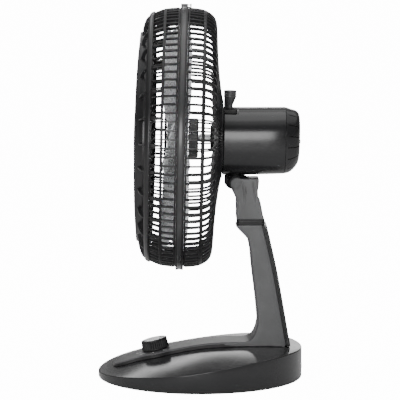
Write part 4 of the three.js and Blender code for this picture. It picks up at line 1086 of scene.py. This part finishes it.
# ------------------------------------------------------------------ guards
RIBS = 96
RIB_PHASE = 0.813
FRONT = [(9.0, 212.3), (14, 211.9), (26, 210.6), (34, 209.0), (41, 206.4), (49.0, 203.0)]
REAR = [(9.0, 212.3), (21, 211.2), (30.7, 209.6), (39, 206.0), (45.4, 201.6), (50, 196.0), (52.8, 188.4), (53.9, 179), (54.6, 168.4), (56.2, 139), (58.9, 107.9), (62.6, 80.1), (65.6, 62.0)]


def rib_path(profile, n, spiral=None):
    pts = np.array(spline(profile, 10))
    pts = resample(pts, n)
    T = np.gradient(pts, axis=0)
    T /= np.linalg.norm(T, axis=1, keepdims=True)
    # outward normal in the (a, r) plane
    N = np.stack([-T[:, 1], T[:, 0]], 1)
    if N[0][1] < 0:
        N = -N
    return pts, N


def guard_ribs(profile, sign, n, width, depth, count=RIBS, phase=RIB_PHASE, thick=None):
    pts, N = rib_path(profile, n)
    parts = []
    for i in range(count):
        phi = TAU * (i + phase) / count
        c, si = math.cos(phi), math.sin(phi)
        path = np.stack([pts[:, 1] * c, sign * pts[:, 0], pts[:, 1] * si], 1)
        nor = np.stack([N[:, 1] * c, sign * N[:, 0], N[:, 1] * si], 1)

        def sec(k):
            w = width if thick is None else thick(pts[k][0])
            h = w / 2
            e = min(0.55, h * 0.6)
            return [(-h + e, 0), (h - e, 0), (h, -e), (h * 0.8, -depth + e), (h * 0.8 - e, -depth), (-h * 0.8 + e, -depth), (-h * 0.8, -depth + e), (-h, -e)]
        parts.append(sweep(path, nor, sec))
    return parts


def plate(poly, phi, w0, w1, edge=0.5):
    """radial plate: poly of (a, r), its thickness going from w0 to w1 along a"""
    c, s = math.cos(phi), math.sin(phi)
    P = fillet([(a, r) for a, r in poly], edge, 2)
    lo, hi = min(a for a, r in P), max(a for a, r in P)
    rings = []
    for sd in (-1, 1):
        ring = []
        for a, r in P:
            h = sd * 0.5 * (w0 + (w1 - w0) * (a - lo) / (hi - lo))
            ring.append((r * c - h * s, -a, r * s + h * c))
        rings.append(ring)
    return skin(rings)


SPOKES = 30
SPOKE_0 = 0.3 * DEG
front_parts = guard_ribs(FRONT, -1, 26, 2.7, 5.0, thick=lambda a: 2.7 if a < 31 else 2.7 - 1.2 * min((a - 31) / 5, 1))
# the smooth rim the ribs end in
front_parts.append(turn(fillet([(200.2, -48.4, 0.4), (205.2, -48.4, 0.8), (204.5, -51.2, 2.5), (202.7, -54.2, 2.0), (200.4, -56.4, 1.0), (196.8, -57.0, 0.8), (196.6, -54.0, 0.6)], 0.6, 4), 288, "y"))
# short webs behind the rim and bent spokes in front of it
for k in range(SPOKES):
    phi = SPOKE_0 + TAU * k / SPOKES
    front_parts.append(plate([(31.0, 203.2), (31.0, 207.4), (40, 205.4), (49.2, 202.0), (49.2, 198.2), (40, 200.5)], phi, 3.0, 4.6))
    line = resample(spline([(55.0, 199.4), (58.4, 197.6), (62.4, 192.4), (65.4, 184.0), (67.4, 174.6)], 6), 16)
    T = np.gradient(line, axis=0)
    T /= np.linalg.norm(T, axis=1, keepdims=True)
    N = np.stack([-T[:, 1], T[:, 0]], 1)
    c, si = math.cos(phi), math.sin(phi)
    path = np.stack([line[:, 1] * c, -line[:, 0], line[:, 1] * si], 1)
    nor = np.stack([N[:, 1] * c, -N[:, 0], N[:, 1] * si], 1)
    if (nor[0] @ np.array([c, 0, si])) < 0:
        nor = -nor
    front_parts.append(sweep(path, nor, [(-0.9, 0), (0.9, 0), (1.3, -0.5), (1.1, -5.6), (0.7, -6.0), (-0.7, -6.0), (-1.1, -5.6), (-1.3, -0.5)]))
# deep inner hoop of the bezel
front_parts.append(turn(fillet([(170.6, -46.4, 0.6), (175.6, -46.4, 1.0), (175.9, -60.2, 1.0), (172.4, -66.2, 2.5), (170.6, -71.0, 1.0), (168.4, -70.8, 0.8), (168.2, -64, 1)], 0.6, 5), 256, "y"))
# deep curved vanes of the front face
FACE = [(70.4, 170.4), (72.6, 152), (74.2, 132), (75.4, 110), (76.3, 88), (76.9, 66), (77.2, 46)]
VANES = 60
DEPTH_AT = hermite([(40, 8), (60, 10), (90, 14), (130, 19), (171, 22)])
fp, fn = rib_path(FACE, 28)
s = np.linspace(0, 1, len(fp))
for i in range(VANES):
    phi = TAU * (i + 0.5) / VANES + 0.62 * (s**1.25)
    c, si = np.cos(phi), np.sin(phi)
    path = np.stack([fp[:, 1] * c, -fp[:, 0], fp[:, 1] * si], 1)
    nor = np.stack([0 * c, -1 + 0 * c, 0 * si], 1)

    def sec(k):
        d = float(DEPTH_AT(fp[k][1]))
        h = 1.0
        return [(-h + 0.4, 0), (h - 0.4, 0), (h, -0.5), (h * 0.75, -d), (-h * 0.75, -d), (-h, -0.5)]
    front_parts.append(sweep(path, nor, sec))
for r, a in ((132.0, 74.2), (92.0, 76.2)):
    front_parts.append(turn(fillet([(r - 1.4, -a + 0.4), (r + 1.4, -a + 0.4), (r + 1.2, -a + 9), (r - 1.2, -a + 9)], 0.5, 3), 192, "y"))
front_parts.append(turn(fillet([(0.01, -71.4), (46.5, -71.4, 0.8), (47.6, -76.6, 1.2), (45.6, -78.0, 1.0), (40.7, -77.6, 0.4), (40.7, -74.2, 0.3), (0.01, -74.2)], 0.5, 3), 160, "y"))
piece("front_grille", together(front_parts), head, M_GUARD, "head", ["front_guard"], 30)
# blank centre badge, gently domed with a stepped rim
badge = fillet([(0.01, -74.5), (39.6, -74.5, 0.4), (40.0, -77.2, 0.8), (38.6, -78.3, 0.5), (36.6, -78.2, 0.3), (36.2, -77.6, 0.3), (34.0, -77.7, 0.4)], 0.3, 3, closed=False) + [(28, -78.1), (20, -78.5), (10, -78.75), (0.01, -78.8)]
piece("front_badge_disc", turn(badge, 128, "y"), head, M_SHELL, "head", ["front_badge"], 30)

rear_parts = guard_ribs(REAR, 1, 44, 2.6, 5.0)
rear_parts.append(turn(fillet([(203.6, 31.4), (208.9, 31.4), (207.0, 36.4), (202.4, 36.4)], 0.7, 3), 256, "y"))
for r, a in ((146.0, 55.8), (106.0, 59.0)):
    rear_parts.append(turn(fillet([(r - 1.4, a - 0.6), (r + 1.4, a - 0.6), (r + 1.4, a - 4.6), (r - 1.4, a - 4.6)], 0.5, 3), 192, "y"))
rear_parts.append(turn(fillet([(27, 62.2), (61, 61.0), (64.6, 61.4, 0.8), (64.6, 66.2, 1.0), (60, 66.4, 0.5), (27, 66.6)], 0.5, 3), 160, "y"))
piece("rear_grille", together(rear_parts), head, M_GUARD, "head", ["rear_guard"], 30)

# matt hoops beside the band that both sets of ribs end in, and the ring half way along the front ribs
for nm, lines in (("front_rib_hoop", [(204.6, -6.7), (211.5, -6.7), (211.3, -9.4), (204.6, -9.4)]), ("rear_rib_hoop", [(204.6, 6.7), (211.5, 6.7), (211.3, 9.4), (204.6, 9.4)]), ("front_mid_ring", [(204.2, -28.2), (210.3, -28.2), (209.7, -32.6), (203.6, -32.6)])):
    piece(nm, turn(fillet(lines, 0.5, 3), 256, "y"), head, M_DARK, "head", [], 30)

# rim band, with a shallow channel along each edge
band = fillet([(207.2, -6.3), (213.6, -6.3, 0.5), (214.3, -5.6, 0.4), (214.4, -3.6, 0.1), (214.4, 3.6, 0.1), (214.3, 5.6, 0.4), (213.6, 6.3, 0.5), (207.2, 6.3)], 0.4, 3)
piece("rim_band", turn(band, 288, "y"), head, M_DARK, "head", ["guard_ring"], 26)
face = fillet([(214.1, -3.4), (215.0, -3.4, 0.5), (215.3, 0, 0), (215.0, 3.4, 0.5), (214.1, 3.4)], 0.2, 3)
piece("rim_band_face", turn(face, 288, "y"), head, M_BAND, "head", [], 26)


def saddle(sign, r0, r1, y0, y1, half, edge=0.6):
    """block that follows the band's curve"""
    n = 16
    rings = []
    for k in range(n + 1):
        a = math.pi / 2 * sign + (k / n - 0.5) * 2 * half / 215
        c, s = math.cos(a), math.sin(a)
        ins = 0.35 if k in (0, n) else 0
        poly = fillet([(r0, y0 + ins), (r1 - ins, y0 + ins), (r1 - ins, y1 - ins), (r0, y1 - ins)], edge, 3)
        rings.append([(r * c, y, r * s) for r, y in poly])
    return skin(rings)


top_clip = together([
    saddle(1, 214.0, 218.3, -6.4, 4.9, 10),
    saddle(1, 211.2, 218.6, 8.6, 10.9, 12),
    saddle(1, 211.4, 213.4, 4.0, 9.4, 9, 0.3),
    bar3((-6, 4.6, 216.3), (-6, 9.2, 216.3), 0.9, 16, 0.1),
])
piece("rim_clip_top", top_clip, head, M_GUARD, "head", ["guard_clip_top"], 30)
low_clip = together([
    saddle(-1, 214.0, 217.6, -6.2, -2.2, 12),
    saddle(-1, 214.0, 217.6, 2.2, 6.2, 12),
    saddle(-1, 214.0, 216.2, -2.6, 2.6, 12, 0.3),
    saddle(-1, 216.0, 217.9, -6.2, 6.2, 3.0, 0.3),
])
piece("rim_clip_bottom", low_clip, head, M_GUARD, "head", ["guard_clip_bottom"], 30)


def nut_ring():
    n = 240
    rings = []
    for r, y, d in [(22.5, 50.9, 0), (33.4, 50.9, 0), (35.0, 51.6, 0), (36.0, 52.8, 0.2), (36.2, 53.6, 1.2), (36.2, 60.2, 1.2), (36.0, 61.0, 0.2), (35.4, 61.3, 0), (22.5, 61.3, 0)]:
        ring = []
        for j in range(n):
            a = TAU * j / n
            g = d if (j % 10) >= 6 else 0
            ring.append(((r - g) * math.cos(a), y, (r - g) * math.sin(a)))
        rings.append(ring)
    return skin(rings, close_v=True)


piece("rear_guard_nut", nut_ring(), head, M_BAND, "head", ["guard_nut"], 28)


# ------------------------------------------------------------------ blades
def blade(i, count=6):
    R0, R1 = 31.0, 195.0
    nu, nv = 34, 22
    top, low = [], []
    for a in range(nu + 1):
        u = a / nu
        rt, rl = [], []
        for b in range(nv + 1):
            v = -0.5 + b / nv
            r = R0 + (R1 - R0) * u - 14 * max(0, u - 0.66) ** 1.4 * abs(v * 2) ** 4
            pitch = (34 - 17 * u) * DEG
            chord = 40 + 80 * math.sin(min(u * 1.15, 1) * math.pi / 2)
            camber = 0.06 * chord * (1 - 4 * v * v)
            s_ = v * chord
            along = s_ * math.cos(pitch) + camber * math.sin(pitch)
            axial = s_ * math.sin(pitch) - camber * math.cos(pitch) - 9
            ang = along / max(r, 30) + i * TAU / count + 0.10 * u
            t = 1.15 * (1 - 0.55 * u) * (1 - 0.72 * abs(2 * v) ** 3)
            t = max(t, 0.45)
            rt.append((r * math.cos(ang), axial + t, r * math.sin(ang)))
            rl.append((r * math.cos(ang), axial - t, r * math.sin(ang)))
        top.append(rt)
        low.append(rl)
    rings = []
    for a in range(nu + 1):
        rings.append(top[a] + low[a][::-1])
    return skin(rings)


hub = fillet([(4.4, -7.4, 0.3), (20.4, -7.4, 0.8), (20.4, -21.0, 0.8), (29.4, -12.4, 1.5), (29.4, 9.8, 0.4), (32, 9.8, 0.6), (32, -16.0, 4), (24.4, -24.6, 1.6), (17, -24.6, 0.8), (17, -10.2, 0.6), (4.4, -10.2, 0.3)], 0.4, 4)
blade_parts = [turn(hub, 128, "y"), turn(fillet([(4.4, -8.4), (9.4, -8.4), (9.4, 8), (4.4, 8)], 0.4, 3), 64, "y")]
for i in range(6):
    a = (i + 0.5) * TAU / 6
    c, s = math.cos(a), math.sin(a)
    q = cuboid(9.0, 29.8, -1.0, 1.0, -8, 6)
    blade_parts.append(([(x * c - y * s, z, x * s + y * c) for x, y, z in q[0]], q[1]))
blade_parts += [blade(i) for i in range(6)]
piece("fan_blade_set", together(blade_parts), head, M_BLADE, "fan_rotor", ["fan_blades"], 40)
back = fillet([(4.4, 24.3, 0.2), (28.6, 24.3, 0.8), (29.3, 23.2, 0.6), (29.3, 10.6, 0.3), (32, 10.6, 0.4), (32, 24.6, 1.2), (30.2, 26.8, 1.2), (14, 26.8, 0.6), (11, 25.6, 0.6), (4.4, 25.6, 0.3)], 0.4, 4)
piece("hub_back_cover", turn(back, 128, "y"), head, M_COLUMN, "fan_rotor", ["hub_back_plate"], 30)
spin = fillet([(4.45, -22.6), (4.45, -10.7), (13.8, -10.7, 0.4), (14.2, -12.0, 0.6), (13.4, -21.4, 1.5), (9.2, -24.5, 1.5), (0.01, -25.2)], 0.4, 4, closed=False) + [(0.01, -22.6)]
piece("blade_spinner_nut", turn(spin, 96, "y", squeeze=lambda a, r, h: 1 - (0.03 if (math.cos(8 * a) < -0.2 and -21.5 < h < -12 and r > 12) else 0)), head, M_SHELL, "fan_rotor", ["blade_nut"], 30)

# ------------------------------------------------------------------ carried-over inner pieces
LOOKS = {
    "base_bottom_plate": M_BASE, "ballast_plate": M_IRON, "speed_switch": M_CREAM, "switch_shaft": M_CREAM,
    "swivel_shaft": M_STEEL, "swivel_ring": M_STEEL, "link_anchor": M_ZINC,
    "gearbox_case": M_CAST, "worm_wheel": M_BRONZE, "clutch_spindle": M_STEEL, "crank_gear": M_GEAR, "crank_link": M_ZINC,
    "motor_front_bracket": M_CAST, "motor_rear_bracket": M_CAST, "stator_core": M_LAM, "winding_front": M_WIRE, "winding_rear": M_WIRE,
    "front_bush": M_BRONZE, "rear_bush": M_BRONZE, "run_capacitor": M_CREAM, "motor_shaft": M_STEEL, "rotor_core": M_LAM,
}
for name, mat in LOOKS.items():
    o = frame["nodes"][name]
    o.data.materials.clear()
    o.data.materials.append(mat)

# ------------------------------------------------------------------ floor, light and camera
me = bpy.data.meshes.new("floor")
n = 40
bm = bmesh.new()
bmesh.ops.create_grid(bm, x_segments=8, y_segments=8, size=420)
bm.to_mesh(me)
bm.free()
floor = bpy.data.objects.new("floor", me)
bpy.context.scene.collection.objects.link(floor)
fm = bpy.data.materials.new("pale_floor")
fm.use_nodes = True
nt = fm.node_tree
nt.nodes.clear()
out = nt.nodes.new("ShaderNodeOutputMaterial")
dif = nt.nodes.new("ShaderNodeBsdfDiffuse")
emi = nt.nodes.new("ShaderNodeEmission")
add = nt.nodes.new("ShaderNodeAddShader")
co = nt.nodes.new("ShaderNodeTexCoord").outputs["Object"]
nz = noise(nt, co, 3.0, 2)
nt.links.new(mix_colour(nt, nz.outputs["Fac"], (0.80, 0.80, 0.80), (0.83, 0.83, 0.83)), dif.inputs["Color"])
emi.inputs["Color"].default_value = (1, 1, 1, 1)
fpath = nt.nodes.new("ShaderNodeLightPath")
fmul = nt.nodes.new("ShaderNodeMath")
fmul.operation = "MULTIPLY_ADD"
fmul.inputs[1].default_value = 14.0
nt.links.new(fpath.outputs["Is Camera Ray"], fmul.inputs[0])
fthru = nt.nodes.new("ShaderNodeMath")
fthru.operation = "MULTIPLY"
fthru.inputs[1].default_value = 8.0
nt.links.new(fpath.outputs["Is Transmission Ray"], fthru.inputs[0])
nt.links.new(fthru.outputs[0], fmul.inputs[2])
nt.links.new(fmul.outputs[0], emi.inputs["Strength"])
nt.links.new(dif.outputs[0], add.inputs[0])
nt.links.new(emi.outputs[0], add.inputs[1])
nt.links.new(add.outputs[0], out.inputs[0])
me.materials.append(fm)


def softbox(name, at, aim, size, power, size_y=None, spread=180):
    L = bpy.data.lights.new(name, "AREA")
    L.shape = "RECTANGLE"
    L.size = size
    L.size_y = size_y or size
    L.energy = power
    L.spread = spread * DEG
    o = bpy.data.objects.new(name, L)
    bpy.context.scene.collection.objects.link(o)
    o.location = at
    d = Vector(aim) - Vector(at)
    o.rotation_euler = d.to_track_quat("-Z", "Y").to_euler()
    return o


w = bpy.data.worlds.new("studio")
bpy.context.scene.world = w
w.use_nodes = True
nt = w.node_tree
nt.nodes.clear()
out = nt.nodes.new("ShaderNodeOutputWorld")


def op(kind, a, b=None, clamp=False):
    n_ = nt.nodes.new("ShaderNodeMath")
    n_.operation = kind
    n_.use_clamp = clamp
    for i_, v_ in enumerate((a, b)):
        if v_ is None:
            continue
        if isinstance(v_, (int, float)):
            n_.inputs[i_].default_value = v_
        else:
            nt.links.new(v_, n_.inputs[i_])
    return n_.outputs[0]


def smooth(v_, a, b, lo, hi):
    r_ = nt.nodes.new("ShaderNodeMapRange")
    r_.interpolation_type = "SMOOTHSTEP"
    r_.inputs["From Min"].default_value = a
    r_.inputs["From Max"].default_value = b
    r_.inputs["To Min"].default_value = lo
    r_.inputs["To Max"].default_value = hi
    nt.links.new(v_, r_.inputs["Value"])
    return r_.outputs[0]


sky = nt.nodes.new("ShaderNodeTexCoord").outputs["Generated"]
xyz = nt.nodes.new("ShaderNodeSeparateXYZ")
nt.links.new(sky, xyz.inputs[0])
X_, Y_, Z_ = xyz.outputs
ceiling = smooth(Z_, 0.55, 0.74, 0.0, 0.85)          # soft overhead light
tilt_w = op("ADD", Z_, op("MULTIPLY", Y_, 0.7))
low_l = smooth(Y_, -0.12, -0.04, 0.12, 1.5)
band_l = op("ADD", op("MULTIPLY", low_l, smooth(tilt_w, 0.19, 0.245, 1.0, 0.0)), smooth(tilt_w, 0.19, 0.245, 0.0, 2.6))
strip_l = op("MULTIPLY", band_l, smooth(tilt_w, 0.285, 0.345, 1.0, 0.04))
cyc = op("MULTIPLY", smooth(X_, -0.25, -0.75, 0.0, 1.0), strip_l)   # pale backdrop behind the object
glow = op("ADD", op("ADD", ceiling, cyc), 0.10)
paper = nt.nodes.new("ShaderNodeBackground")
paper.inputs["Color"].default_value = (1, 1, 1, 1)
paper.inputs["Strength"].default_value = 14.0
studio = nt.nodes.new("ShaderNodeBackground")
studio.inputs["Color"].default_value = (1, 1, 1, 1)
nt.links.new(glow, studio.inputs["Strength"])
lit = nt.nodes.new("ShaderNodeBackground")          # what shows through clear plastic
lit.inputs["Color"].default_value = (1, 1, 1, 1)
lit.inputs["Strength"].default_value = 9.0
path = nt.nodes.new("ShaderNodeLightPath")
ray = path.outputs["Is Camera Ray"]
mixt = nt.nodes.new("ShaderNodeMixShader")
nt.links.new(path.outputs["Is Transmission Ray"], mixt.inputs[0])
nt.links.new(studio.outputs[0], mixt.inputs[1])
nt.links.new(lit.outputs[0], mixt.inputs[2])
mixw = nt.nodes.new("ShaderNodeMixShader")
nt.links.new(ray, mixw.inputs[0])
nt.links.new(mixt.outputs[0], mixw.inputs[1])
nt.links.new(paper.outputs[0], mixw.inputs[2])
nt.links.new(mixw.outputs[0], out.inputs[0])

softbox("overhead", (0.1, 0.1, 2.6), (0, 0.05, 0.3), 1.6, 14, 2.2)
softbox("side", (3.0, -0.45, 0.80), (0, -0.45, 0.55), 1.9, 52, 0.95)

cam_data = bpy.data.cameras.new("camera")
cam_data.sensor_width = 36
cam_data.sensor_height = 36
cam_data.sensor_fit = "HORIZONTAL"
cam_data.lens = 36 * 2000 / 400
cam_data.clip_end = 1500
cam = bpy.data.objects.new("camera", cam_data)
bpy.context.scene.collection.objects.link(cam)
cam.location = (3.270, 0, 0.630)
cam.rotation_euler = ((90 - 5.9) * DEG, 0, 90 * DEG)
bpy.context.scene.camera = cam
